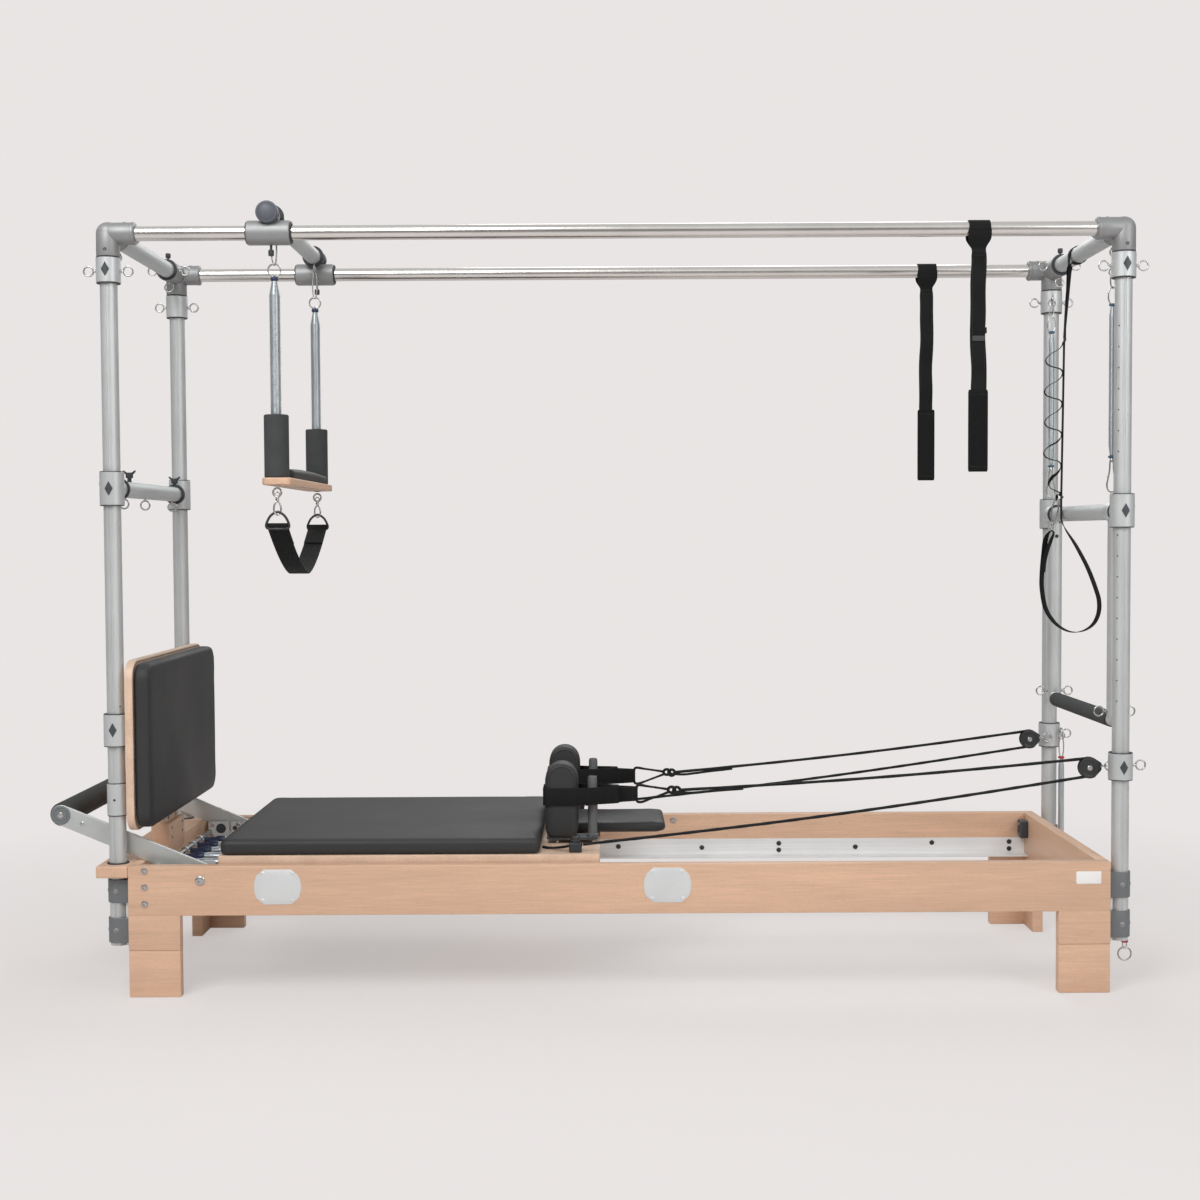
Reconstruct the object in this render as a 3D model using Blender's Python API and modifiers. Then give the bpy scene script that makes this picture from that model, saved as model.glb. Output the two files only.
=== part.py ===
"""A pilates reformer with a four-post tower over the bed.

Metres, +Z up. The bed runs along X: its foot end is at -X and its head end at +X, and the near long
side is at -Y. Every size is measured from the middle of the bed's footprint on the floor, and the
whole model then moves along X so that its origin is the middle of its bounding box's bottom face.
"""

import math

import bmesh
import bpy
from mathutils import Matrix, Vector

# Bed
BED_LENGTH = 2.360
BED_WIDTH = 0.738
RAIL_TOP = 0.3175
RAIL_HEIGHT = 0.120
BOARD = 0.0285
LEG_WIDTH = 0.124
FOOT_BOARD = 0.023
SHELF_REACH = 0.077
SOCKET_HEIGHT = 0.0525
SOCKET_WIDTH = 0.150
BUMPER = 0.021

# Tower
POST_RADIUS = 0.0205
POST_WALL = 0.0025
POST_STANDOFF = 0.0355
POST_INSET = 0.047
POST_BOTTOM = RAIL_TOP - 0.1989
TOP_TUBE_Z = 1.8333
TOP_RAIL_RADIUS = 0.0175
CROSS_RADIUS = 0.021
TOP_TUBE_WALL = 0.0022
ELBOW_RADIUS = 0.0305
COLLAR_WALL = 0.0085
MID_BAR_RADIUS = 0.020
PIVOT_DROP = 0.6763
FOOT_BAR_DROP = 0.6083
EYE_RADIUS = 0.0115
EYE_WIRE = 0.0016

# Push-through bar
PUSH_DROP = 0.510
PUSH_RADIUS = 0.0190
PUSH_CORE_RADIUS = 0.0150

# Pulleys and ropes
PULLEY_REACH = 0.0655
PULLEY_Y = 0.286
PULLEY_Z = RAIL_TOP + 0.2155
BLOCK_RADIUS = 0.026
SHEAVE_RADIUS = 0.0235
ROPE_RADIUS = 0.0025
ROPE_TURN = 0.0215

# Trapeze and its swing
TRAPEZE_SLEEVE = 0.1036
TRAPEZE_RISE = 0.0447
SWING_SPAN = 0.285
SWING_SEAT_DROP = 0.5833
SEAT_WIDTH = 0.070
SEAT_THICKNESS = 0.018
SWING_FOAM_RADIUS = 0.030
SWING_FOAM_HEIGHT = 0.152

# Straps
TOP_STRAP_X = 0.868
SAFETY_STRAP_Y = 0.064

# Carriage
CARRIAGE_LENGTH = 0.9254
CARRIAGE_START = 0.209
CARRIAGE_GAP = 0.0055
DECK_TOP = RAIL_TOP + 0.0175
DECK_THICKNESS = 0.028
PAD_LENGTH = CARRIAGE_LENGTH - 0.1424
PAD_THICKNESS = 0.0397
AXLE_INSET = 0.105
AXLE_RADIUS = 0.006
WHEEL_RADIUS = 0.026
TRACK_BOTTOM = RAIL_TOP - 0.1175
TRACK_TOP = RAIL_TOP - 0.0695

# Shoulder rests
REST_Y = 0.165
REST_LENGTH = 0.084
REST_WIDTH = 0.080
REST_TOP = DECK_TOP + 0.205
PEG_RADIUS = 0.0118
PEG_TOP = DECK_TOP + 0.167

# Footbar
FOOTBAR_PIVOT_IN = 0.175
FOOTBAR_PIVOT_Z = RAIL_TOP - 0.0365
FOOTBAR_LENGTH = 0.387
FOOTBAR_SLOPE = math.radians(22.7)
ARM_WIDTH = 0.050
ARM_THICKNESS = 0.008
ARM_Y = 0.287
FOOTBAR_FOAM_RADIUS = 0.029

# Jumpboard
JUMP_BOTTOM = RAIL_TOP + 0.0775
JUMP_TOP = RAIL_TOP + 0.4925
JUMP_HALF_WIDTH = 0.350
JUMP_WOOD = 0.019
JUMP_PAD = 0.035
JUMP_CORNER = 0.048

# Clearances
GAP = 0.0003
EASE = 0.0005
LINK_GAP = 0.0006

TUBE_SIDES = 12
SMALL_SIDES = 8

NEAR, FAR = -1, 1
FOOT, HEAD = -1, 1
SIDE_NAMES = {NEAR: "near", FAR: "far"}
END_NAMES = {FOOT: "foot", HEAD: "head"}

# Places that follow from the sizes
HEAD_FACE = BED_LENGTH / 2
FOOT_FACE = -BED_LENGTH / 2
SIDE_FACE = BED_WIDTH / 2
INNER_FACE = SIDE_FACE - BOARD
RAIL_BOTTOM = RAIL_TOP - RAIL_HEIGHT
POST_X = HEAD_FACE + POST_STANDOFF
POST_Y = SIDE_FACE - POST_INSET
COLLAR_RADIUS = POST_RADIUS + COLLAR_WALL
PUSH_HALF_WIDTH = POST_Y - POST_RADIUS - 0.0295
PIVOT_Z = TOP_TUBE_Z - PIVOT_DROP
FOOT_BAR_Z = TOP_TUBE_Z - FOOT_BAR_DROP
FROM_HEAD = HEAD_FACE - 1.180
TRAPEZE_X = FOOT_FACE + 0.351
FROM_SIDE = SIDE_FACE - 0.369

JUMP_BACK = -POST_X + COLLAR_RADIUS + GAP
TONGUE_HALF = 0.060
TONGUE_BOTTOM = RAIL_TOP + 0.003

DECK_START = FOOT_FACE + CARRIAGE_START
DECK_END = DECK_START + CARRIAGE_LENGTH
REST_X = DECK_START + PAD_LENGTH + 0.005 + REST_LENGTH / 2
PEG_X = REST_X + 0.077
PIN_XS = (REST_X - 0.012, PEG_X + 0.0025)
PIN_RADIUS = 0.003
LOCK_X = REST_X + 0.0355
LOCK_Y = SIDE_FACE - 0.069
LOCK_LENGTH = 0.031
LOCK_TOP = DECK_TOP + 0.040
LOCK_ROPE_Z = DECK_TOP + 0.018
HEADREST_HINGE_X = DECK_START + PAD_LENGTH + 0.030
HEADREST_BARREL = 0.0075
HEADREST_HINGE_Z = DECK_TOP + GAP + HEADREST_BARREL
HEADREST_OVERHANG = 0.170
HEADREST_HALF = 0.112
STRAP_Z = DECK_TOP + 0.1195
STRAP_END_X = REST_X + 0.187
KNOT_X = REST_X + 0.282
KNOT_Y = REST_Y - 0.008
KNOT_Z = STRAP_Z + 0.0085

WHEEL_Y = INNER_FACE - 0.0265
AXLE_Z = TRACK_BOTTOM + 0.004 + GAP + WHEEL_RADIUS
AXLE_XS = (DECK_START + AXLE_INSET, DECK_END - AXLE_INSET)
ANCHOR_X = FOOT_FACE + FOOT_BOARD + 0.022
SPRING_Z = DECK_TOP - DECK_THICKNESS - 0.022
SPRING_END_X = DECK_START + 0.470

FOOTBAR_PIVOT_X = FOOT_FACE + FOOTBAR_PIVOT_IN
FOOTBAR_TIP = Vector((
    FOOTBAR_PIVOT_X - FOOTBAR_LENGTH * math.cos(FOOTBAR_SLOPE),
    0,
    FOOTBAR_PIVOT_Z + FOOTBAR_LENGTH * math.sin(FOOTBAR_SLOPE),
))

ARM_SPRING_X = POST_X - 0.0095
ARM_SPRING_Y = POST_Y - 0.047
ARM_EYE_Z = TOP_TUBE_Z - 0.086
LEG_SPRING_X = POST_X + 0.0245
LEG_SPRING_Y = POST_Y - 0.036
LEG_EYE_Z = PULLEY_Z + 0.019
PULLEY_X = POST_X - PULLEY_REACH
BLOCK_SLOT_END = PULLEY_X + ROPE_TURN + ROPE_RADIUS + 0.001
SHACKLE_RADIUS = 0.0080
SHACKLE_X = BLOCK_SLOT_END + 0.0018 + SHACKLE_RADIUS
PULLEY_EYE_X = SHACKLE_X + SHACKLE_RADIUS + EYE_RADIUS - 2 * EYE_WIRE - LINK_GAP
PULLEY_EYE_Z = PULLEY_Z + 0.004

SWING_X = TRAPEZE_X + 0.004
SWING_EYE_Z = TOP_TUBE_Z + 0.0137
SEAT_TOP = TOP_TUBE_Z - SWING_SEAT_DROP
SEAT_EYE_Z = SEAT_TOP - SEAT_THICKNESS - EYE_RADIUS - 0.006
DRING_LOW = SEAT_TOP - 0.120
DRING_WIDTH = 0.050
STRAP_LOOP_LOW = SEAT_TOP - 0.238
CUFF_TOP = TOP_TUBE_Z - 0.383
CUFF_LOW = TOP_TUBE_Z - 0.579
HOOK_Z = TOP_TUBE_Z - 0.640
LOOP_DROP = 0.340


def turning_bore(radius, sides=TUBE_SIDES):
    """The radius of a faceted bore that turns freely on a faceted shaft of this radius."""
    return radius / math.cos(math.pi / sides) + 0.00018


def clear_scene():
    for item in list(bpy.data.objects):
        bpy.data.objects.remove(item, do_unlink=True)


def new_collection(name):
    made = bpy.data.collections.new(name)
    bpy.context.scene.collection.children.link(made)
    return made


clear_scene()
PARTS = new_collection("pilates_reformer_with_tower")
CUTTERS = new_collection("cutters_and_joined_pieces")


def link(item):
    for holder in list(item.users_collection):
        holder.objects.unlink(item)
    PARTS.objects.link(item)
    return item


def put_away(item):
    """Moves a cutter or a joined piece out of the model's own collection."""
    for holder in list(item.users_collection):
        holder.objects.unlink(item)
    CUTTERS.objects.link(item)
    item.hide_render = True
    item.display_type = "WIRE"


def boolean(target, others, operation):
    for other in others:
        modifier = target.modifiers.new(operation.lower(), "BOOLEAN")
        modifier.operation = operation
        modifier.solver = "EXACT"
        modifier.object = other
        put_away(other)
    return target


def join(target, *others):
    return boolean(target, others, "UNION")


def cut(target, *others):
    return boolean(target, others, "DIFFERENCE")


def from_bmesh(name, shape, location=(0, 0, 0)):
    mesh = bpy.data.meshes.new(name)
    shape.to_mesh(mesh)
    shape.free()
    item = bpy.data.objects.new(name, mesh)
    item.location = location
    return link(item)


def box(name, x, y, z):
    """A box between three (low, high) pairs, with its origin at its middle."""
    low = Vector((min(x), min(y), min(z)))
    high = Vector((max(x), max(y), max(z)))
    shape = bmesh.new()
    bmesh.ops.create_cube(shape, size=1.0)
    bmesh.ops.scale(shape, vec=high - low, verts=shape.verts)
    return from_bmesh(name, shape, (low + high) / 2)


def rod(name, start, end, radius, sides=TUBE_SIDES, end_radius=None):
    """A round bar from start to end, tapered where the second radius differs."""
    start, end = Vector(start), Vector(end)
    shape = bmesh.new()
    bmesh.ops.create_cone(
        shape,
        cap_ends=True,
        segments=sides,
        radius1=radius,
        radius2=radius if end_radius is None else end_radius,
        depth=(end - start).length,
    )
    item = from_bmesh(name, shape, (start + end) / 2)
    item.rotation_euler = (end - start).to_track_quat("Z", "Y").to_euler()
    return item


def ball(name, centre, radius, sides=12, rings=6):
    shape = bmesh.new()
    bmesh.ops.create_uvsphere(shape, u_segments=sides, v_segments=rings, radius=radius)
    return from_bmesh(name, shape, centre)


def ring(name, centre, axis, radius=EYE_RADIUS, wire=EYE_WIRE, turns=8, sides=6):
    """A wire ring round the given axis."""
    turn = Vector(axis).to_track_quat("Z", "Y").to_euler()
    bpy.ops.mesh.primitive_torus_add(
        major_segments=turns,
        minor_segments=sides,
        major_radius=radius,
        minor_radius=wire,
        location=centre,
        rotation=turn,
    )
    item = bpy.context.object
    item.name = name
    item.data.name = name
    return link(item)


def turned(name, profile, centre, axis, sides=TUBE_SIDES):
    """Turns (radius, height) points about the axis. They run down the outer side, from the top."""
    closed = profile[0][0] > 0
    shape = bmesh.new()
    corners = [shape.verts.new((radius, 0.0, height)) for radius, height in profile]
    for first, second in zip(corners, corners[1:]):
        shape.edges.new((first, second))
    if closed:
        shape.edges.new((corners[-1], corners[0]))
    item = from_bmesh(name, shape, centre)
    item.rotation_euler = Vector(axis).to_track_quat("Z", "Y").to_euler()
    screw = item.modifiers.new("turn", "SCREW")
    screw.steps = sides
    screw.render_steps = sides
    screw.use_merge_vertices = True
    screw.merge_threshold = 0.0001
    return item


def bevel(item, width, segments=1):
    modifier = item.modifiers.new("rounded edges", "BEVEL")
    modifier.width = width
    modifier.segments = segments
    modifier.limit_method = "ANGLE"
    modifier.angle_limit = math.radians(40)
    return item


def as_mesh(item, weld=0.00005):
    """Turns a curve object into a mesh object, with its loose caps welded on."""
    bpy.context.view_layer.update()
    graph = bpy.context.evaluated_depsgraph_get()
    mesh = bpy.data.meshes.new_from_object(item.evaluated_get(graph))
    shape = bmesh.new()
    shape.from_mesh(mesh)
    bmesh.ops.remove_doubles(shape, verts=shape.verts, dist=weld)
    shape.to_mesh(mesh)
    shape.free()
    name = item.name
    made = bpy.data.objects.new(name + "_solid", mesh)
    made.matrix_world = item.matrix_world.copy()
    bpy.data.objects.remove(item, do_unlink=True)
    made.name = name
    return link(made)


def path_tube(name, points, radius, closed=False, resolution=1):
    """A round wire, rope or bent tube along the points."""
    curve = bpy.data.curves.new(name, "CURVE")
    curve.dimensions = "3D"
    curve.bevel_depth = radius
    curve.bevel_resolution = resolution
    curve.use_fill_caps = not closed
    line = curve.splines.new("POLY")
    line.points.add(len(points) - 1)
    for slot, point in zip(line.points, points):
        slot.co = (*point, 1.0)
    line.use_cyclic_u = closed
    return as_mesh(link(bpy.data.objects.new(name, curve)))


def plate(name, outline, thickness, matrix):
    """A flat outline in its own XY plane, with the thickness shared on both sides of the plane."""
    curve = bpy.data.curves.new(name, "CURVE")
    curve.dimensions = "2D"
    curve.fill_mode = "BOTH"
    curve.extrude = thickness / 2
    line = curve.splines.new("POLY")
    line.points.add(len(outline) - 1)
    for slot, point in zip(line.points, outline):
        slot.co = (point[0], point[1], 0.0, 1.0)
    line.use_cyclic_u = True
    item = link(bpy.data.objects.new(name, curve))
    item.matrix_world = matrix
    return as_mesh(item)


def band(name, points, across, thickness, closed=False):
    """A flat strap along the points: a strip as wide as the across vector, given a thickness."""
    across = Vector(across)
    shape = bmesh.new()
    line = [shape.verts.new(Vector(point) - across / 2) for point in points]
    edges = [shape.edges.new(pair) for pair in zip(line, line[1:])]
    if closed:
        edges.append(shape.edges.new((line[-1], line[0])))
    grown = bmesh.ops.extrude_edge_only(shape, edges=edges)["geom"]
    moved = [corner for corner in grown if isinstance(corner, bmesh.types.BMVert)]
    bmesh.ops.translate(shape, vec=across, verts=moved)
    item = from_bmesh(name, shape)
    solid = item.modifiers.new("strap thickness", "SOLIDIFY")
    solid.thickness = thickness
    solid.offset = 0.0
    solid.use_even_offset = True
    return item


def arc(centre, radius, start, end, steps):
    """Points of an arc in a plane, with its angles in degrees."""
    angles = [math.radians(start + (end - start) * step / steps) for step in range(steps + 1)]
    return [(centre[0] + radius * math.cos(a), centre[1] + radius * math.sin(a)) for a in angles]


def rounded_outline(low, high, radius, steps=4):
    corners = (
        ((high[0] - radius, high[1] - radius), 0),
        ((low[0] + radius, high[1] - radius), 90),
        ((low[0] + radius, low[1] + radius), 180),
        ((high[0] - radius, low[1] + radius), 270),
    )
    points = []
    for centre, start in corners:
        points += arc(centre, radius, start, start + 90, steps)
    return points


def side_frame(side):
    """A long rail with a two-winged leg at each end, cut as one outline with its end wings joined."""
    name = SIDE_NAMES[side] + "_side_frame"
    outline = [
        (FOOT_FACE, 0.0),
        (FOOT_FACE + LEG_WIDTH, 0.0),
        (FOOT_FACE + LEG_WIDTH, RAIL_BOTTOM),
        (HEAD_FACE - LEG_WIDTH, RAIL_BOTTOM),
        (HEAD_FACE - LEG_WIDTH, 0.0),
        (HEAD_FACE, 0.0),
        (HEAD_FACE, RAIL_TOP),
        (FOOT_FACE, RAIL_TOP),
    ]
    middle = side * (SIDE_FACE - BOARD / 2)
    upright = Matrix.Translation((0, middle, 0)) @ Matrix.Rotation(math.pi / 2, 4, "X")
    frame = plate(name, outline, BOARD, upright)
    for end in (FOOT, HEAD):
        wing = box(
            f"{name}_{END_NAMES[end]}_wing",
            (end * HEAD_FACE, end * (HEAD_FACE - BOARD)),
            (side * (SIDE_FACE - LEG_WIDTH), side * (SIDE_FACE - BOARD / 2)),
            (0, RAIL_BOTTOM - GAP),
        )
        join(frame, wing)
    return frame


def head_end_board():
    """The board across the head end, with a rubber stop for the carriage in each corner."""
    half = INNER_FACE - GAP
    inside = HEAD_FACE - BOARD
    board = box("head_end_board", (inside, HEAD_FACE), (-half, half), (RAIL_BOTTOM, RAIL_TOP))
    for side in (NEAR, FAR):
        stop = box(
            f"{SIDE_NAMES[side]}_stop",
            (inside - BUMPER, inside + 0.004),
            (side * (half - 0.045), side * (half - 0.004)),
            (RAIL_TOP - 0.0655, RAIL_TOP - 0.0175),
        )
        join(board, stop)
    return board


def foot_end_board():
    """The foot cross board with the shelf that the foot posts pass through and the jumpboard's socket."""
    half = INNER_FACE - GAP
    shelf_end = FOOT_FACE - SHELF_REACH
    inside = FOOT_FACE + FOOT_BOARD
    low = RAIL_TOP - BOARD
    board = box("foot_end_board", (FOOT_FACE, inside), (-half, half), (RAIL_BOTTOM, RAIL_TOP))
    shelf_root = box("shelf_root", (FOOT_FACE - 0.010, inside - 0.010), (-half, half), (low, RAIL_TOP))
    shelf = box("shelf", (shelf_end, FOOT_FACE - GAP), (-SIDE_FACE, SIDE_FACE), (low, RAIL_TOP))
    socket_half = SOCKET_WIDTH / 2
    socket_top = RAIL_TOP + SOCKET_HEIGHT
    socket = box(
        "socket",
        (JUMP_BACK - 0.016, inside + 0.003),
        (-socket_half, socket_half),
        (low + 0.002, socket_top),
    )
    join(board, shelf_root, shelf, socket)
    slot = box(
        "tongue_slot",
        (JUMP_BACK - EASE, JUMP_BACK + JUMP_WOOD + EASE),
        (-TONGUE_HALF - EASE, TONGUE_HALF + EASE),
        (TONGUE_BOTTOM - EASE, socket_top + 0.02),
    )
    cut(board, slot)
    for side in (NEAR, FAR):
        y = side * POST_Y
        rim = rod(f"rim_{side}", (-POST_X, y, low + 0.01), (-POST_X, y, RAIL_TOP + 0.003), POST_RADIUS + 0.006)
        join(board, rim)
        bore = rod(f"post_hole_{side}", (-POST_X, y, low - 0.01), (-POST_X, y, RAIL_TOP + 0.02), POST_RADIUS + EASE)
        cut(board, bore)
    return board


def track(side):
    """An aluminium angle on the rail's inner face, with a flange that the carriage wheels roll on."""
    back = INNER_FACE - GAP
    start = FOOT_FACE + FOOT_BOARD + GAP
    end = HEAD_FACE - BOARD - GAP
    web = box(SIDE_NAMES[side] + "_track", (start, end), (side * (back - 0.004), side * back), (TRACK_BOTTOM, TRACK_TOP))
    flange = box(
        f"flange_{side}",
        (start, end),
        (side * (back - 0.040), side * (back - 0.002)),
        (TRACK_BOTTOM, TRACK_BOTTOM + 0.004),
    )
    return join(web, flange)


def spring_anchor_bar():
    """The bar that the springs hook on to, between two drilled plates on the rails' inner faces."""
    x = ANCHOR_X
    back = INNER_FACE - GAP
    hole_z = RAIL_TOP - 0.0255
    bar = rod("spring_anchor_bar", (x, -back + 0.002, SPRING_Z), (x, back - 0.002, SPRING_Z), 0.008, 12)
    for side in (NEAR, FAR):
        drilled = box(
            f"drilled_plate_{side}",
            (ANCHOR_X - 0.018, ANCHOR_X + 0.066),
            (side * (back - 0.004), side * back),
            (TRACK_TOP + 0.003, RAIL_TOP - 0.0035),
        )
        join(bar, drilled)
        for step in (0, 1):
            hx = ANCHOR_X + 0.024 + 0.026 * step
            hole = rod(f"hole_{side}_{step}", (hx, side * (back - 0.010), hole_z), (hx, side * (back + 0.010), hole_z), 0.008, 8)
            cut(bar, hole)
    return bar


def post(end, side):
    """A hollow upright. A foot post carries the collar that the jumpboard leans on, and a sleeve."""
    name = f"{END_NAMES[end]}_{SIDE_NAMES[side]}_post"
    x, y = end * POST_X, side * POST_Y
    high = TOP_TUBE_Z - CROSS_RADIUS - 0.003
    body = rod(name, (x, y, POST_BOTTOM), (x, y, high), POST_RADIUS)
    if end == FOOT:
        join(body, rod(f"{name}_collar", (x, y, RAIL_TOP + 0.285), (x, y, RAIL_TOP + 0.3645), COLLAR_RADIUS))
        join(body, rod(f"{name}_sleeve", (x, y, RAIL_TOP + 0.1165), (x, y, RAIL_TOP + 0.1965), POST_RADIUS + 0.003))
    core = rod(f"{name}_core", (x, y, POST_BOTTOM - 0.01), (x, y, high + 0.01), POST_RADIUS - POST_WALL)
    return cut(body, core)


def radial_eye(name, centre, angle, reach, start):
    """An eyebolt standing out of a collar: a ring in the upright plane of its shank."""
    turn = math.radians(angle)
    out = Vector((math.cos(turn), math.sin(turn), 0))
    middle = Vector(centre) + out * reach
    eye = ring(name, middle, (-out.y, out.x, 0))
    shank = rod(f"{name}_shank", Vector(centre) + out * start, middle - out * (EYE_RADIUS - 0.0005), 0.0028, 6)
    return join(eye, shank)


def corner_fitting(end, side):
    """A three-way elbow over the post's top, its collar below, two eyebolts and a thumb screw."""
    name = f"{END_NAMES[end]}_{SIDE_NAMES[side]}_corner"
    x, y, z = end * POST_X, side * POST_Y, TOP_TUBE_Z
    rail_end = end * (POST_X - 0.0665)
    cross_end = side * (POST_Y - 0.075)
    low = z - 0.119
    body = rod(name, (x, y, z - 0.0565), (x, y, z + 0.004), ELBOW_RADIUS)
    join(
        body,
        ball(name + "_knee", (x, y, z), ELBOW_RADIUS + 0.0012, 10, 7),
        rod(name + "_rail_stub", (rail_end, y, z), (x, y, z), ELBOW_RADIUS - 0.004),
        rod(name + "_cross_stub", (x, cross_end, z), (x, y, z), ELBOW_RADIUS - 0.002),
        rod(name + "_collar", (x, y, low), (x, y, z - 0.054), COLLAR_RADIUS),
        rod(name + "_screw", (x, cross_end + side * 0.016, z + 0.02), (x, cross_end + side * 0.016, z + 0.047), 0.0065, 8),
    )
    for out in (-1, 1):
        angle = 0 if out > 0 else 180
        join(body, radial_eye(f"{name}_eye_{out}", (x, y, z - 0.089), angle, 0.0475, COLLAR_RADIUS - 0.004))
    if end == HEAD:
        inboard = math.degrees(math.atan2(side * (ARM_SPRING_Y - POST_Y), ARM_SPRING_X - POST_X))
        reach = math.hypot(ARM_SPRING_Y - POST_Y, ARM_SPRING_X - POST_X)
        join(body, radial_eye(f"{name}_spring_eye", (x, y, ARM_EYE_Z), inboard, reach, COLLAR_RADIUS - 0.004))
    end_of_bore = CROSS_RADIUS + 0.003
    cut(
        body,
        rod(name + "_post_bore", (x, y, low - 0.01), (x, y, z - end_of_bore + GAP), POST_RADIUS + GAP),
        rod(name + "_rail_bore", (rail_end - end * 0.01, y, z), (x - end * (end_of_bore - GAP), y, z), TOP_RAIL_RADIUS + GAP),
        rod(name + "_cross_bore", (x, cross_end - side * 0.01, z), (x, y - side * (end_of_bore - GAP), z), CROSS_RADIUS + GAP),
    )
    return body


def top_rail(side):
    """A hollow polished rail between the corner fittings, which the trapeze slides on."""
    name = SIDE_NAMES[side] + "_top_rail"
    half = POST_X - CROSS_RADIUS - 0.003
    y = side * POST_Y
    tube = rod(name, (-half, y, TOP_TUBE_Z), (half, y, TOP_TUBE_Z), TOP_RAIL_RADIUS)
    core = rod(name + "_core", (-half - 0.01, y, TOP_TUBE_Z), (half + 0.01, y, TOP_TUBE_Z), TOP_RAIL_RADIUS - TOP_TUBE_WALL)
    return cut(tube, core)


def top_crossbar(end):
    name = END_NAMES[end] + "_top_crossbar"
    half = POST_Y - CROSS_RADIUS - 0.003
    x = end * POST_X
    tube = rod(name, (x, -half, TOP_TUBE_Z), (x, half, TOP_TUBE_Z), CROSS_RADIUS)
    core = rod(name + "_core", (x, -half - 0.01, TOP_TUBE_Z), (x, half + 0.01, TOP_TUBE_Z), CROSS_RADIUS - TOP_TUBE_WALL)
    return cut(tube, core)


def post_bracket(end, side):
    """The backing bar on the bed's end face, with two clamps round the lower end of a post."""
    name = f"{END_NAMES[end]}_{SIDE_NAMES[side]}_post_bracket"
    x, y = end * POST_X, side * POST_Y
    face = end * (HEAD_FACE + GAP)
    drops = ((0.1915, 0.1300), (0.0935, 0.0369)) if end == FOOT else ((0.1898, 0.1251), (0.0930, 0.0305))
    clamps = [(RAIL_TOP - low, RAIL_TOP - high) for low, high in drops]
    top = clamps[-1][1]
    bar = box(name, (face, end * (POST_X - POST_RADIUS - EASE)), (y - 0.016, y + 0.016), (POST_BOTTOM, top))
    for index, (low, high) in enumerate(clamps):
        join(
            bar,
            rod(f"{name}_clamp_{index}", (x, y, low), (x, y, high), POST_RADIUS + 0.004),
            box(f"{name}_lug_{index}", (face, x), (y - 0.024, y + 0.024), (low, high)),
        )
    bore = rod(name + "_bore", (x, y, POST_BOTTOM - 0.01), (x, y, top + 0.01), POST_RADIUS + GAP)
    return cut(bar, bore)


def crossbar_with_collars(name, x, z, low, high, extra):
    """A crossbar between two collars that slide on a pair of posts."""
    half = POST_Y - POST_RADIUS - 0.004
    bar = rod(name, (x, -half, z), (x, half, z), MID_BAR_RADIUS)
    for side in (NEAR, FAR):
        y = side * POST_Y
        join(bar, rod(f"{name}_collar_{side}", (x, y, low), (x, y, high), COLLAR_RADIUS))
    join(bar, *extra)
    for side in (NEAR, FAR):
        y = side * POST_Y
        cut(bar, rod(f"{name}_bore_{side}", (x, y, low - 0.01), (x, y, high + 0.01), POST_RADIUS + GAP))
    return bar


def pivot_crossbar():
    """The crossbar at the head end that the push-through bar hangs from."""
    return crossbar_with_collars("pivot_crossbar", POST_X, PIVOT_Z, PIVOT_Z - 0.039, PIVOT_Z + 0.043, [])


def foot_crossbar():
    """The crossbar at the foot end, with wing knobs on its collars and three eyebolts."""
    x, z = -POST_X, FOOT_BAR_Z
    extra = []
    for side, reach in ((NEAR, 0.173), (FAR, 0.266)):
        y = side * (reach + FROM_SIDE)
        extra.append(rod(f"wing_stem_{side}", (x, y, z + 0.012), (x, y, z + 0.040), 0.005, 8))
        extra.append(box(f"wing_{side}", (x - 0.014, x + 0.014), (y - 0.004, y + 0.004), (z + 0.036, z + 0.052)))
    for index, y in enumerate((-0.223 - FROM_SIDE, -0.032, 0.239 + FROM_SIDE)):
        extra.append(ring(f"bar_eye_{index}", (x, y, z - MID_BAR_RADIUS - EYE_RADIUS - 0.004), (0, 1, 0)))
        extra.append(rod(f"bar_eye_shank_{index}", (x, y, z - 0.012), (x, y, z - MID_BAR_RADIUS - 0.0045), 0.0028, 6))
    return crossbar_with_collars("foot_crossbar", x, z, z - 0.042, z + 0.041, extra)


def push_through_bar():
    """A U-shaped frame: two arms on bored knuckles round the pivot crossbar and a lower cross tube."""
    x, low = POST_X, PIVOT_Z - PUSH_DROP
    half = PUSH_HALF_WIDTH - 0.004
    bar = rod("push_through_bar", (x, -half, low), (x, half, low), PUSH_CORE_RADIUS)
    for side in (NEAR, FAR):
        y = side * PUSH_HALF_WIDTH
        join(
            bar,
            rod(f"push_arm_{side}", (x, y, PIVOT_Z - 0.010), (x, y, low - 0.004), PUSH_RADIUS),
            ball(f"push_elbow_{side}", (x, y, low), PUSH_RADIUS + 0.0015, 10, 7),
            rod(f"push_knuckle_{side}", (x, y - 0.0175, PIVOT_Z), (x, y + 0.0175, PIVOT_Z), MID_BAR_RADIUS + 0.0075),
        )
        for out in (-1, 1):
            angle = 0 if out > 0 else 180
            join(bar, radial_eye(f"push_eye_{side}_{out}", (x, y, low + 0.0225), angle, 0.038, PUSH_RADIUS - 0.004))
    half = PUSH_HALF_WIDTH + 0.03
    return cut(bar, rod("knuckle_bore", (x, -half, PIVOT_Z), (x, half, PIVOT_Z), turning_bore(MID_BAR_RADIUS)))


def push_through_grip():
    x, low = POST_X, PIVOT_Z - PUSH_DROP
    half = PUSH_HALF_WIDTH - PUSH_RADIUS - 0.001
    sleeve = rod("push_through_grip", (x, -half, low), (x, half, low), PUSH_CORE_RADIUS + 0.0042)
    return cut(sleeve, rod("grip_core", (x, -half - 0.01, low), (x, half + 0.01, low), PUSH_CORE_RADIUS + GAP))


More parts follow.
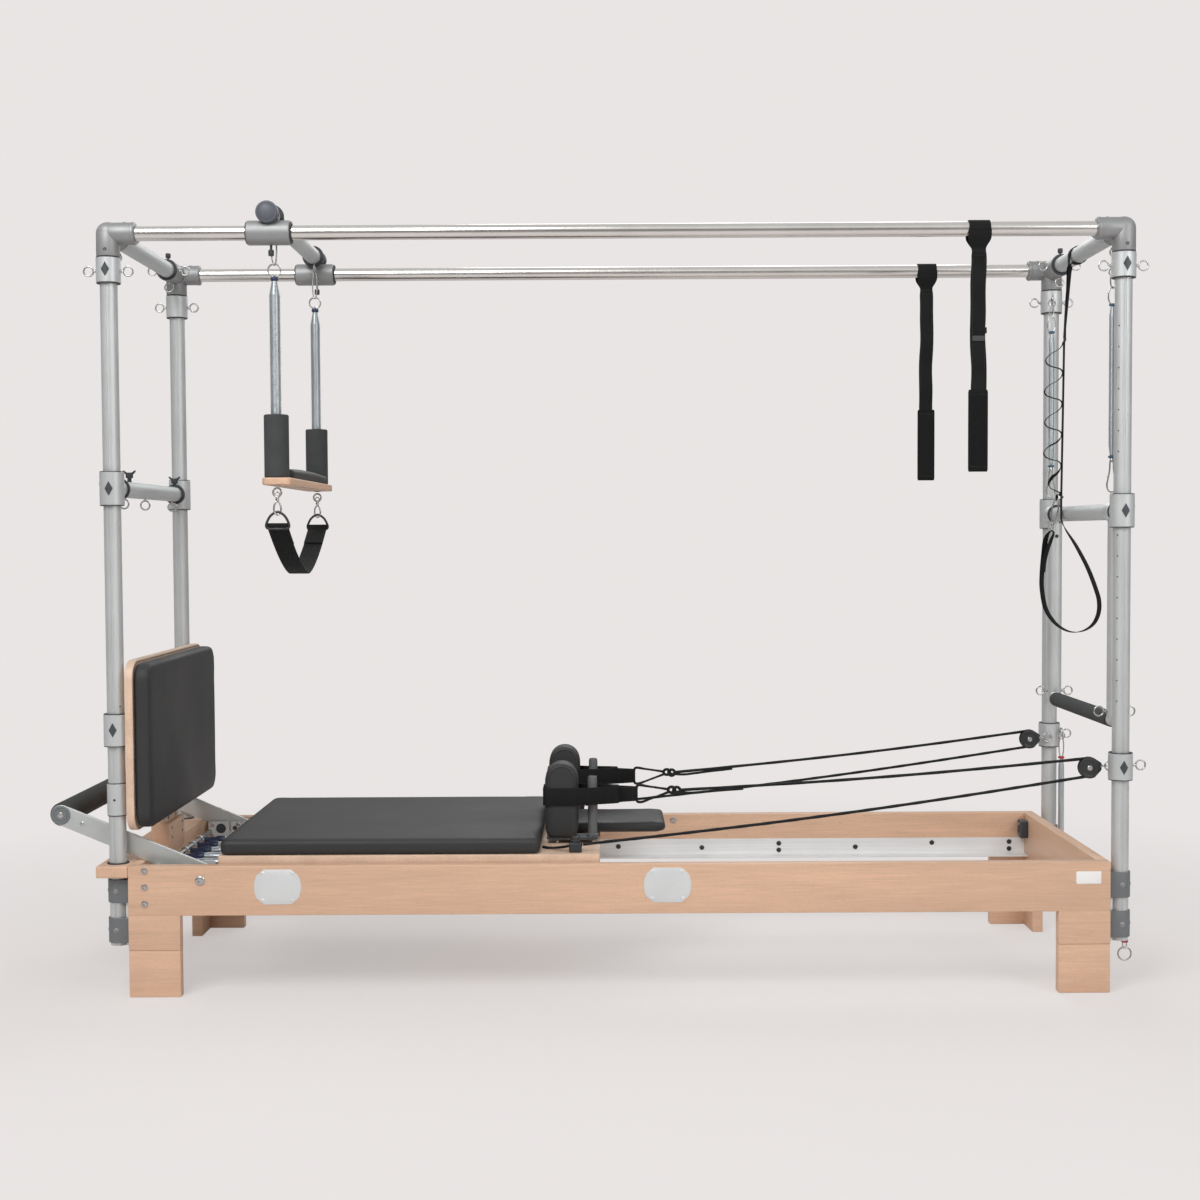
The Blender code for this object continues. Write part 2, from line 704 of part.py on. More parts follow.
def pulley_collar(side):
    """A collar on a head post with three eyebolts, for the pulley, a leg spring and a spare."""
    name = SIDE_NAMES[side] + "_pulley_collar"
    x, y = POST_X, side * POST_Y
    low, high = PULLEY_Z - 0.025, PULLEY_Z + 0.042
    body = rod(name, (x, y, low), (x, y, high), COLLAR_RADIUS)
    eye_x, eye_y = PULLEY_EYE_X, side * PULLEY_Y
    eye = ring(f"{name}_pulley_eye", (eye_x, eye_y, PULLEY_EYE_Z), (0, 1, 0))
    shank = rod(
        f"{name}_pulley_shank",
        (eye_x + EYE_RADIUS, y - side * 0.024, PULLEY_EYE_Z),
        (eye_x + EYE_RADIUS, eye_y - side * 0.001, PULLEY_EYE_Z),
        0.0026,
        6,
    )
    join(body, eye, shank)
    leg_eye = ring(f"{name}_leg_eye", (LEG_SPRING_X, side * LEG_SPRING_Y, LEG_EYE_Z), (1, 0, 0))
    leg_shank = rod(
        f"{name}_leg_shank",
        (LEG_SPRING_X, y - side * 0.012, LEG_EYE_Z),
        (LEG_SPRING_X, side * (LEG_SPRING_Y + EYE_RADIUS - 0.0005), LEG_EYE_Z),
        0.0028,
        6,
    )
    join(body, leg_eye, leg_shank)
    join(body, radial_eye(f"{name}_spare_eye", (x, y, PULLEY_Z + 0.011), 0, 0.0485, COLLAR_RADIUS - 0.004))
    return cut(body, rod(f"{name}_bore", (x, y, low - 0.01), (x, y, high + 0.01), POST_RADIUS + GAP))


def pulley_block(side):
    """Two cheeks round a sheave, joined by a neck and a pin, with a shackle in the collar's eye."""
    name = SIDE_NAMES[side] + "_pulley_block"
    x, y, z = PULLEY_X, side * PULLEY_Y, PULLEY_Z
    half = 0.0092
    slot_half = 0.0062
    body = rod(name, (x, y - half, z), (x, y + half, z), BLOCK_RADIUS)
    neck = box(f"{name}_neck", (x + 0.010, BLOCK_SLOT_END + 0.0035), (y - half, y + half), (z - 0.012, z + 0.016))
    join(body, neck)
    cut(body, box(f"{name}_slot", (x - 0.04, BLOCK_SLOT_END), (y - slot_half, y + slot_half), (z - 0.04, z + 0.04)))
    join(body, rod(f"{name}_pin", (x, y - half - 0.001, z), (x, y + half + 0.001, z), 0.004, 8))
    shackle = ring(f"{name}_shackle", (SHACKLE_X, y, PULLEY_EYE_Z), (0, 0, 1), SHACKLE_RADIUS)
    return join(body, shackle)


def sheave(side):
    name = SIDE_NAMES[side] + "_sheave"
    groove = ROPE_TURN - ROPE_RADIUS - 2 * GAP
    bore = 0.004 + EASE
    profile = [
        (SHEAVE_RADIUS, 0.0055),
        (SHEAVE_RADIUS, 0.0038),
        (groove, 0.0030),
        (groove, -0.0030),
        (SHEAVE_RADIUS, -0.0038),
        (SHEAVE_RADIUS, -0.0055),
        (bore, -0.0055),
        (bore, 0.0055),
    ]
    return turned(name, profile, (PULLEY_X, side * PULLEY_Y, PULLEY_Z), (0, 1, 0), 12)


def rope(side):
    """The rope from its knot ring round the sheave to the rope lock, with the foot strap on its end."""
    name = SIDE_NAMES[side] + "_rope"
    y = side * PULLEY_Y
    knot = Vector((KNOT_X, side * KNOT_Y, KNOT_Z))
    upper = Vector((PULLEY_X - 0.017, y, PULLEY_Z + ROPE_TURN - 0.0012))
    points = [tuple(knot), tuple(upper)]
    for px, pz in arc((PULLEY_X, PULLEY_Z), ROPE_TURN, 90, -90, 8):
        points.append((px, y, pz))
    points.append((PULLEY_X - 0.017, y, PULLEY_Z - ROPE_TURN - 0.0022))
    points.append((LOCK_X + LOCK_LENGTH / 2 + GAP, side * LOCK_Y, LOCK_ROPE_Z))
    line = path_tube(name, points, ROPE_RADIUS)
    loop = ring(f"{name}_knot", tuple(knot - Vector((0.006, 0, 0))), (0, 1, 0), 0.0075, 0.0034, 8, 5)
    tail = Vector((STRAP_END_X, side * KNOT_Y, STRAP_Z))
    upper_leg = [tuple(tail + Vector((-0.004, 0, 0.017))), tuple(tail + Vector((0.016, 0, 0.018))), tuple(knot)]
    lower_leg = [tuple(tail + Vector((-0.004, 0, -0.017))), tuple(tail + Vector((0.016, 0, -0.018))), tuple(knot)]
    reach_x = REST_LENGTH / 2 + 0.0045
    reach_y = REST_WIDTH / 2 + 0.0040
    turn = 0.006
    outline = [(reach_x, reach_y)]
    outline += arc((turn - reach_x, reach_y - turn), turn, 90, 180, 2)
    outline += arc((turn - reach_x, turn - reach_y), turn, 180, 270, 2)
    outline += [(reach_x, -reach_y)]
    outline = [(REST_X + px, side * REST_Y + py, STRAP_Z) for px, py in outline]
    for back, half in ((0.060, -0.0035), (0.0, -0.0025), (0.0, 0.0025), (0.060, 0.0035)):
        outline.append((STRAP_END_X - back, side * KNOT_Y + half, STRAP_Z))
    strap = band(f"{name}_foot_strap", outline, (0, 0, 0.043), 0.003, closed=True)
    return join(
        strap_first(name, strap, line),
        loop,
        path_tube(f"{name}_upper_leg", upper_leg, ROPE_RADIUS),
        path_tube(f"{name}_lower_leg", lower_leg, ROPE_RADIUS),
    )


def strap_first(name, strap, line):
    """Joins the rope to its foot strap and gives the joined piece the rope's name."""
    line.name = name + "_line"
    strap.name = name
    return join(strap, line)


def trapeze_crossbar():
    """Two sleeves on the top rails with a crossbar over them, domed caps, thumb screws and eyebolts."""
    name = "trapeze_crossbar"
    x, z = TRAPEZE_X, TOP_TUBE_Z + TRAPEZE_RISE
    end = POST_Y + 0.022
    bar = rod(name, (x, -end, z), (x, end, z), CROSS_RADIUS)
    half = TRAPEZE_SLEEVE / 2
    for side in (NEAR, FAR):
        y = side * POST_Y
        low = TOP_TUBE_Z - TOP_RAIL_RADIUS
        join(
            bar,
            rod(f"{name}_sleeve_{side}", (x - half, y, TOP_TUBE_Z), (x + half, y, TOP_TUBE_Z), TOP_RAIL_RADIUS + 0.0118),
            rod(f"{name}_cap_{side}", (x, side * (end - 0.006), z), (x, side * (end + 0.010), z), CROSS_RADIUS + 0.0055),
            rod(
                f"{name}_dome_{side}",
                (x, side * (end + 0.008), z),
                (x, side * (end + 0.022), z),
                CROSS_RADIUS + 0.0055,
                TUBE_SIDES,
                0.013,
            ),
            rod(f"{name}_screw_{side}", (x, y, low - 0.004), (x, y, low - 0.031), 0.0065, 8),
            rod(f"{name}_top_screw_{side}", (x + 0.018, y, z + 0.008), (x + 0.018, y, z + 0.031), 0.0065, 8),
        )
        eye_y = side * SWING_SPAN
        eye = ring(f"{name}_eye_{side}", (SWING_X, eye_y, SWING_EYE_Z), (1, 0, 0))
        shank = rod(
            f"{name}_eye_shank_{side}",
            (SWING_X, y - side * 0.018, SWING_EYE_Z),
            (SWING_X, eye_y + side * (EYE_RADIUS - 0.0005), SWING_EYE_Z),
            0.0028,
            6,
        )
        join(bar, eye, shank)
    for side in (NEAR, FAR):
        y = side * POST_Y
        bore = rod(f"{name}_bore_{side}", (x - half - 0.01, y, TOP_TUBE_Z), (x + half + 0.01, y, TOP_TUBE_Z), TOP_RAIL_RADIUS + EASE)
        cut(bar, bore)
    return bar


def hanging_link(name, eye_centre, axis, radius=0.0095, wire=0.0014):
    """A wire link through an eyebolt's ring, its top resting on the ring's lower wire."""
    drop = EYE_RADIUS - EYE_WIRE - wire - LINK_GAP + radius
    centre = Vector(eye_centre) - Vector((0, 0, drop))
    return ring(name, centre, axis, radius, wire), centre.z - radius


def spring(name, eye_centre, axis, low, radius, band_top, band_length, ring_z, ring_radius):
    """A coil spring as a turned solid with tapered ends, hung from an eye, with a ring at its foot."""
    x, y, _ = eye_centre
    link_ring, link_low = hanging_link(name + "_link", eye_centre, axis)
    neck = 0.0035
    profile = [
        (0.0, link_low + 0.001),
        (neck, link_low + 0.001),
        (neck, band_top + 0.010),
        (radius * 0.62, band_top),
        (radius * 0.62, band_top - band_length),
        (radius, band_top - band_length - 0.030),
        (radius, low + 0.030),
        (radius * 0.62, low),
        (0.0, low),
    ]
    body = turned(name, profile, (x, y, 0), (0, 0, 1), SMALL_SIDES)
    foot = rod(name + "_foot", (x, y, low + 0.001), (x, y, ring_z + ring_radius - 0.0005), neck, 8)
    foot_ring = ring(name + "_foot_ring", (x, y, ring_z), axis, ring_radius, 0.0018)
    return join(body, link_ring, foot, foot_ring)


def swing_spring(side):
    name = SIDE_NAMES[side] + "_swing_spring"
    x, y = SWING_X, side * SWING_SPAN
    z = SWING_EYE_Z
    link_ring, link_low = hanging_link(name + "_link", (x, y, z), (0, 1, 0))
    radius = 0.0138
    low = SEAT_TOP + GAP
    profile = [
        (0.0, link_low + 0.001),
        (0.0030, link_low + 0.001),
        (0.0030, z - 0.105),
        (0.0095, z - 0.112),
        (0.0095, z - 0.140),
        (radius, z - 0.165),
        (radius, low),
        (0.0, low),
    ]
    body = turned(name, profile, (x, y, 0), (0, 0, 1), SMALL_SIDES)
    split_ring = ring(name + "_split_ring", (x, y, z - 0.100), (0, 1, 0), 0.0165)
    return join(body, link_ring, split_ring)


def swing_seat():
    """The wooden bar of the swing with a screw eye under each end."""
    x = TRAPEZE_X + 0.007
    half = SWING_SPAN + 0.030
    seat = box(
        "swing_seat",
        (x - SEAT_WIDTH / 2, x + SEAT_WIDTH / 2),
        (-half, half),
        (SEAT_TOP - SEAT_THICKNESS, SEAT_TOP),
    )
    bevel(seat, 0.003)
    for side in (NEAR, FAR):
        y = side * SWING_SPAN
        join(
            seat,
            rod(f"seat_shank_{side}", (SWING_X, y, SEAT_TOP - SEAT_THICKNESS + 0.002), (SWING_X, y, SEAT_EYE_Z + EYE_RADIUS - 0.0005), 0.0028, 6),
            ring(f"seat_eye_{side}", (SWING_X, y, SEAT_EYE_Z), (1, 0, 0)),
        )
    return seat


def swing_padding():
    """A foam sleeve round each spring's foot, joined by the cushion on the seat."""
    x = TRAPEZE_X + 0.007
    low = SEAT_TOP + GAP
    cushion = box(
        "swing_padding",
        (x - SEAT_WIDTH / 2 + 0.003, x + SEAT_WIDTH / 2 - 0.003),
        (-SWING_SPAN, SWING_SPAN),
        (low, low + 0.020),
    )
    for side in (NEAR, FAR):
        y = side * SWING_SPAN
        join(cushion, rod(f"foam_{side}", (SWING_X, y, low), (SWING_X, y, low + SWING_FOAM_HEIGHT), SWING_FOAM_RADIUS))
    for side in (NEAR, FAR):
        y = side * SWING_SPAN
        core = rod(f"foam_core_{side}", (SWING_X, y, low - 0.01), (SWING_X, y, low + SWING_FOAM_HEIGHT + 0.01), 0.0146)
        cut(cushion, core)
    return cushion


def swing_strap():
    """The loop under the swing: two snap hooks, two wire D rings and a padded strap between them."""
    x = SWING_X
    pieces = []
    for side in (NEAR, FAR):
        y = side * SWING_SPAN
        link_ring, link_low = hanging_link(f"strap_link_{side}", (x, y, SEAT_EYE_Z), (0, 1, 0))
        pieces.append(link_ring)
        corner = DRING_WIDTH / 2
        pieces.append(rod(f"snap_{side}", (x, y, link_low + 0.001), (x, y, DRING_LOW + 0.012 + corner), 0.0035, 8))
        outline = [(x - corner, y, DRING_LOW), (x + corner, y, DRING_LOW)]
        for ax, az in arc((x, DRING_LOW + 0.012), corner, 10, 170, 6):
            outline.append((ax, y, az))
        pieces.append(path_tube(f"dring_{side}", outline, 0.0026, closed=True))
    points = []
    for step in range(9):
        share = -1 + 2 * step / 8
        points.append((x, SWING_SPAN * share, STRAP_LOOP_LOW + (DRING_LOW - STRAP_LOOP_LOW) * abs(share) ** 1.5))
    return join(band("swing_strap", points, (0.050, 0, 0), 0.008), *pieces)


def top_strap(side):
    """A strap hung round a top rail: a wrap, a tapering neck, a flat strap and a thick cuff."""
    name = SIDE_NAMES[side] + "_top_strap"
    x, y = TOP_STRAP_X + FROM_HEAD, side * POST_Y
    low = TOP_TUBE_Z - TOP_RAIL_RADIUS
    wrap = rod(name, (x - 0.026, y, TOP_TUBE_Z), (x + 0.026, y, TOP_TUBE_Z), TOP_RAIL_RADIUS + 0.0045)
    neck = box(f"{name}_neck", (x - 0.024, x + 0.024), (y - 0.009, y + 0.009), (low - 0.029, low + 0.001))
    strap = box(f"{name}_strap", (x - 0.018, x + 0.018), (y - 0.003, y + 0.003), (CUFF_TOP - 0.002, low - 0.028))
    cuff = box(f"{name}_cuff", (x - 0.023, x + 0.023), (y - 0.0075, y + 0.0075), (CUFF_LOW, CUFF_TOP))
    join(wrap, neck, strap, cuff)
    bore = rod(f"{name}_bore", (x - 0.04, y, TOP_TUBE_Z), (x + 0.04, y, TOP_TUBE_Z), turning_bore(TOP_RAIL_RADIUS))
    return cut(wrap, bore)


def safety_strap():
    """A narrow strap round the head crossbar, hanging inboard of the push-through bar in a long loop."""
    x = POST_X - CROSS_RADIUS - 0.0025
    top_y = SAFETY_STRAP_Y
    loop_y = 0.126
    wrap = rod("safety_strap", (POST_X, top_y - 0.010, TOP_TUBE_Z), (POST_X, top_y + 0.010, TOP_TUBE_Z), CROSS_RADIUS + 0.003)
    top = TOP_TUBE_Z - 0.006
    points = [(x, top_y, top), (x, 0.090, top - 0.120), (x, 0.106, top - 0.212), (x, loop_y, HOOK_Z - 0.002)]
    run = band("safety_run", points, (0, 0.016, 0), 0.003)
    hook = ring("safety_hook", (x, loop_y, HOOK_Z - 0.012), (1, 0, 0), 0.014, 0.0022)
    loop = []
    drop = HOOK_Z - 0.026
    span = 0.173
    for step in range(14):
        turn = 2 * math.pi * step / 14
        reach = math.sin(turn) * (0.55 + 0.45 * math.sin((turn / 2) % math.pi) ** 1.2)
        middle = loop_y - (loop_y + 0.010) * (1 - math.cos(turn)) / 2
        loop.append((x, middle + span * reach, drop - LOOP_DROP * (1 - math.cos(turn)) / 2))
    sling = path_band("safety_loop", loop, x)
    join(wrap, run, hook, sling)
    bore = rod("safety_bore", (POST_X, top_y - 0.03, TOP_TUBE_Z), (POST_X, top_y + 0.03, TOP_TUBE_Z), turning_bore(CROSS_RADIUS))
    return cut(wrap, bore)


def path_band(name, points, x):
    """A flat loop in an upright plane, as wide along X as a narrow strap is."""
    low = [(x - 0.005, y, z) for _, y, z in points]
    return band(name, [(px + 0.005, py, pz) for px, py, pz in low], (0.007, 0, 0), 0.003, closed=True)


def carriage_deck():
    """The wooden deck with its axle hangers, the rope locks and the holes for the rests' pins."""
    half = INNER_FACE - CARRIAGE_GAP
    low = DECK_TOP - DECK_THICKNESS
    deck = box("carriage_deck", (DECK_START, DECK_END), (-half, half), (low, DECK_TOP))
    bevel(deck, 0.002)
    for side in (NEAR, FAR):
        for index, x in enumerate(AXLE_XS):
            hanger = box(
                f"hanger_{side}_{index}",
                (x - 0.016, x + 0.016),
                (side * (WHEEL_Y - 0.026), side * (WHEEL_Y - 0.018)),
                (AXLE_Z - 0.014, low + 0.002),
            )
            join(deck, hanger)
        lock = box(
            f"rope_lock_{side}",
            (LOCK_X - LOCK_LENGTH / 2, LOCK_X + LOCK_LENGTH / 2),
            (side * LOCK_Y - 0.015, side * LOCK_Y + 0.015),
            (DECK_TOP - 0.002, LOCK_TOP),
        )
        join(deck, lock)
        for x in PIN_XS:
            cut(deck, rod(f"pin_hole_{side}_{x}", (x, side * REST_Y, DECK_TOP - 0.022), (x, side * REST_Y, DECK_TOP + 0.01), PIN_RADIUS + EASE, 8))
    for x in AXLE_XS:
        cut(deck, rod(f"axle_bore_{x}", (x, -half, AXLE_Z), (x, half, AXLE_Z), turning_bore(AXLE_RADIUS, SMALL_SIDES), SMALL_SIDES))
    return deck


def carriage_pad():
    half = INNER_FACE - CARRIAGE_GAP
    pad = box(
        "carriage_pad",
        (DECK_START, DECK_START + PAD_LENGTH),
        (-half, half),
        (DECK_TOP + GAP, DECK_TOP + GAP + PAD_THICKNESS),
    )
    return bevel(pad, 0.012, 3)


def headrest():
    """The head cushion, hinged on a barrel at its foot end and resting on a low block."""
    bottom = DECK_TOP + 0.014
    pad = box(
        "headrest",
        (HEADREST_HINGE_X - 0.004, DECK_END + HEADREST_OVERHANG),
        (-HEADREST_HALF, HEADREST_HALF),
        (bottom, bottom + 0.025),
    )
    bevel(pad, 0.007, 2)
    barrel = rod(
        "headrest_barrel",
        (HEADREST_HINGE_X, -HEADREST_HALF + 0.015, HEADREST_HINGE_Z),
        (HEADREST_HINGE_X, HEADREST_HALF - 0.015, HEADREST_HINGE_Z),
        HEADREST_BARREL,
        12,
    )
    block = box("headrest_block", (DECK_END - 0.040, DECK_END - 0.016), (-0.060, 0.060), (DECK_TOP + GAP, bottom + 0.002))
    return join(pad, barrel, block)


def shoulder_rest(side):
    """A domed pad and a peg on one base plate, which two pins hold in the deck."""
    name = SIDE_NAMES[side] + "_shoulder_rest"
    y = side * REST_Y
    half = REST_LENGTH / 2
    plate_low, plate_top = DECK_TOP + 0.010, DECK_TOP + 0.016
    base = box(name, (REST_X - half + 0.004, PEG_X + 0.013), (y - 0.030, y + 0.030), (plate_low, plate_top))
    outline = [(REST_X + px, pz) for px, pz in arc((0, REST_TOP - half), half, 0, 180, 10)]
    outline += [(REST_X - half, plate_top + 0.010), (REST_X - half + 0.012, plate_top - 0.002)]
    outline += [(REST_X + half - 0.012, plate_top - 0.002), (REST_X + half, plate_top + 0.010)]
    upright = Matrix.Translation((0, y, 0)) @ Matrix.Rotation(math.pi / 2, 4, "X")
    pad = plate(f"{name}_pad", outline, REST_WIDTH, upright)
    bevel(pad, 0.005, 1)
    peg = rod(f"{name}_peg", (PEG_X, y, plate_low + 0.002), (PEG_X, y, PEG_TOP), PEG_RADIUS, SMALL_SIDES)
    join(base, pad, peg)
    for x in PIN_XS:
        join(base, rod(f"{name}_pin_{x}", (x, y, DECK_TOP - 0.020), (x, y, plate_low + 0.002), PIN_RADIUS, 8))
    return base


def wheel_axle(index):
    """An axle across the carriage with a wheel near each end."""
    name = ("foot", "head")[index] + "_wheel_axle"
    x = AXLE_XS[index]
    end = WHEEL_Y + 0.008
    axle = rod(name, (x, -end, AXLE_Z), (x, end, AXLE_Z), AXLE_RADIUS, SMALL_SIDES)
    for side in (NEAR, FAR):
        y = side * WHEEL_Y
        join(axle, rod(f"{name}_wheel_{side}", (x, y - 0.009, AXLE_Z), (x, y + 0.009, AXLE_Z), WHEEL_RADIUS, 16))
        join(axle, rod(f"{name}_hub_{side}", (x, y - side * 0.016, AXLE_Z), (x, y, AXLE_Z), 0.011, SMALL_SIDES))
    return axle


def reformer_springs():
    """Five coil springs between the anchor bar and the hook bar that the carriage pulls."""
    start = ANCHOR_X + 0.008 + GAP
    hook_bar = rod("reformer_springs", (SPRING_END_X, -0.190, SPRING_Z), (SPRING_END_X, 0.190, SPRING_Z), 0.007, 8)
    for index in range(5):
        y = (index - 2) * 0.078
        join(
            hook_bar,
            rod(f"coil_{index}", (start + 0.060, y, SPRING_Z), (SPRING_END_X - 0.004, y, SPRING_Z), 0.0125, SMALL_SIDES),
            rod(f"coil_end_{index}", (start, y, SPRING_Z), (start + 0.062, y, SPRING_Z), 0.0075, 8, 0.0125),
        )
    return hook_bar


def footbar_frame():
    """Two flat arms on pivot bosses, leaning on the foot board's edge, with a tube through the grip."""
    pivot = Vector((FOOTBAR_PIVOT_X, 0, FOOTBAR_PIVOT_Z))
    tip = FOOTBAR_TIP
    tube = rod("footbar_frame", (tip.x, -ARM_Y - 0.001, tip.z), (tip.x, ARM_Y + 0.001, tip.z), 0.016, 12)
    for side in (NEAR, FAR):
        inner, outer = side * ARM_Y, side * (ARM_Y + ARM_THICKNESS)
        arm = box(f"arm_{side}", (-FOOTBAR_LENGTH, 0), (inner, outer), (-ARM_WIDTH / 2, ARM_WIDTH / 2))
        turn = Matrix.Rotation(FOOTBAR_SLOPE, 4, "Y")
        arm.matrix_world = Matrix.Translation(pivot) @ turn @ arm.matrix_basis
        join(
            tube,
            arm,
            rod(f"arm_pivot_end_{side}", (pivot.x, inner, pivot.z), (pivot.x, outer, pivot.z), ARM_WIDTH / 2),
            rod(f"arm_tip_{side}", (tip.x, inner, tip.z), (tip.x, outer, tip.z), ARM_WIDTH / 2),
            rod(f"arm_cap_{side}", (tip.x, outer - side * 0.001, tip.z), (tip.x, outer + side * 0.004, tip.z), 0.0235),
            rod(f"boss_{side}", (pivot.x, outer - side * 0.002, pivot.z), (pivot.x, side * (INNER_FACE - GAP), pivot.z), 0.014, 12),
        )
    return tube


def footbar_grip():
    half = ARM_Y - GAP
    tip = FOOTBAR_TIP
    sleeve = rod("footbar_grip", (tip.x, -half, tip.z), (tip.x, half, tip.z), FOOTBAR_FOAM_RADIUS)
    return cut(sleeve, rod("footbar_core", (tip.x, -half - 0.01, tip.z), (tip.x, half + 0.01, tip.z), 0.016 + GAP))


def jumpboard():
    """The upright board, with the tongue that stands in the foot board's socket."""
    upright = Matrix.Translation((JUMP_BACK + JUMP_WOOD / 2, 0, 0)) @ Matrix(
        ((0, 0, 1, 0), (1, 0, 0, 0), (0, 1, 0, 0), (0, 0, 0, 1))
    )
    outline = rounded_outline((-JUMP_HALF_WIDTH, JUMP_BOTTOM), (JUMP_HALF_WIDTH, JUMP_TOP), JUMP_CORNER)
    board = plate("jumpboard", outline, JUMP_WOOD, upright)
    tongue = box("tongue", (JUMP_BACK, JUMP_BACK + JUMP_WOOD), (-TONGUE_HALF, TONGUE_HALF), (TONGUE_BOTTOM, JUMP_BOTTOM + 0.010))
    return join(board, tongue)


def jumpboard_pad():
    inset = 0.004
    start = JUMP_BACK + JUMP_WOOD + GAP
    upright = Matrix.Translation((start + JUMP_PAD / 2, 0, 0)) @ Matrix(
        ((0, 0, 1, 0), (1, 0, 0, 0), (0, 1, 0, 0), (0, 0, 0, 1))
    )
    half = JUMP_HALF_WIDTH - inset
    outline = rounded_outline((-half, JUMP_BOTTOM + inset), (half, JUMP_TOP - inset), JUMP_CORNER - inset)
    pad = plate("jumpboard_pad", outline, JUMP_PAD, upright)
    return bevel(pad, 0.009, 2)


def arm_spring(side):
    eye = (ARM_SPRING_X, side * ARM_SPRING_Y, ARM_EYE_Z)
    low = ARM_EYE_Z - 0.460
    ring_z = ARM_EYE_Z - 0.535
    return spring(SIDE_NAMES[side] + "_arm_spring", eye, (0, 1, 0), low, 0.0082, ARM_EYE_Z - 0.070, 0.026, ring_z, 0.0095)


def leg_spring(side):
    eye = (LEG_SPRING_X, side * LEG_SPRING_Y, LEG_EYE_Z)
    low = LEG_EYE_Z - 0.450
    ring_z = LEG_EYE_Z - 0.478
    return spring(SIDE_NAMES[side] + "_leg_spring", eye, (0, 1, 0), low, 0.0085, LEG_EYE_Z - 0.068, 0.020, ring_z, 0.0165)


def material(name, colour, roughness, metallic=0.0):
    made = bpy.data.materials.new(name)
    made.use_nodes = True
    shader = made.node_tree.nodes["Principled BSDF"]
    shader.inputs["Base Color"].default_value = (*colour, 1.0)
    shader.inputs["Roughness"].default_value = roughness
    shader.inputs["Metallic"].default_value = metallic
    return made


LOOKS = {
    "beech": ((0.70, 0.47, 0.33), 0.45, 0.0),
    "satin_aluminium": ((0.60, 0.62, 0.62), 0.35, 1.0),
    "grey_casting": ((0.33, 0.34, 0.35), 0.45, 0.8),
    "dark_casting": ((0.20, 0.21, 0.22), 0.5, 0.6),
    "polished_steel": ((0.75, 0.75, 0.76), 0.15, 1.0),
    "spring_steel": ((0.62, 0.66, 0.70), 0.3, 1.0),
    "grey_upholstery": ((0.065, 0.066, 0.068), 0.6, 0.0),
    "grey_foam": ((0.075, 0.076, 0.078), 0.85, 0.0),
    "black_webbing": ((0.012, 0.012, 0.013), 0.8, 0.0),
    "black_plastic": ((0.02, 0.02, 0.022), 0.4, 0.0),
}


def hold(pivot_name, place, pieces):
    """Parents the pieces of a moving body to an empty on its joint's axis."""
    pivot = bpy.data.objects.new(pivot_name, None)
    pivot.location = place
    PARTS.objects.link(pivot)
    for piece in pieces:
        piece.parent = pivot
        piece.matrix_parent_inverse = Matrix.Translation(-Vector(place))
    return pivot


def under(child, parent):
    """Hangs one pivot under another and leaves it where it is."""
    child.parent = parent
    child.matrix_parent_inverse = Matrix.Translation(-parent.location)
    return child


def finish(item, look):
    """Gives a piece its colour and shades its round faces smooth."""
    values = LOOKS[look]
    item.data.materials.clear()
    item.data.materials.append(material(item.name, *values))
    item.data.shade_smooth()
    item.data.set_sharp_from_angle(angle=math.radians(35))
    return item


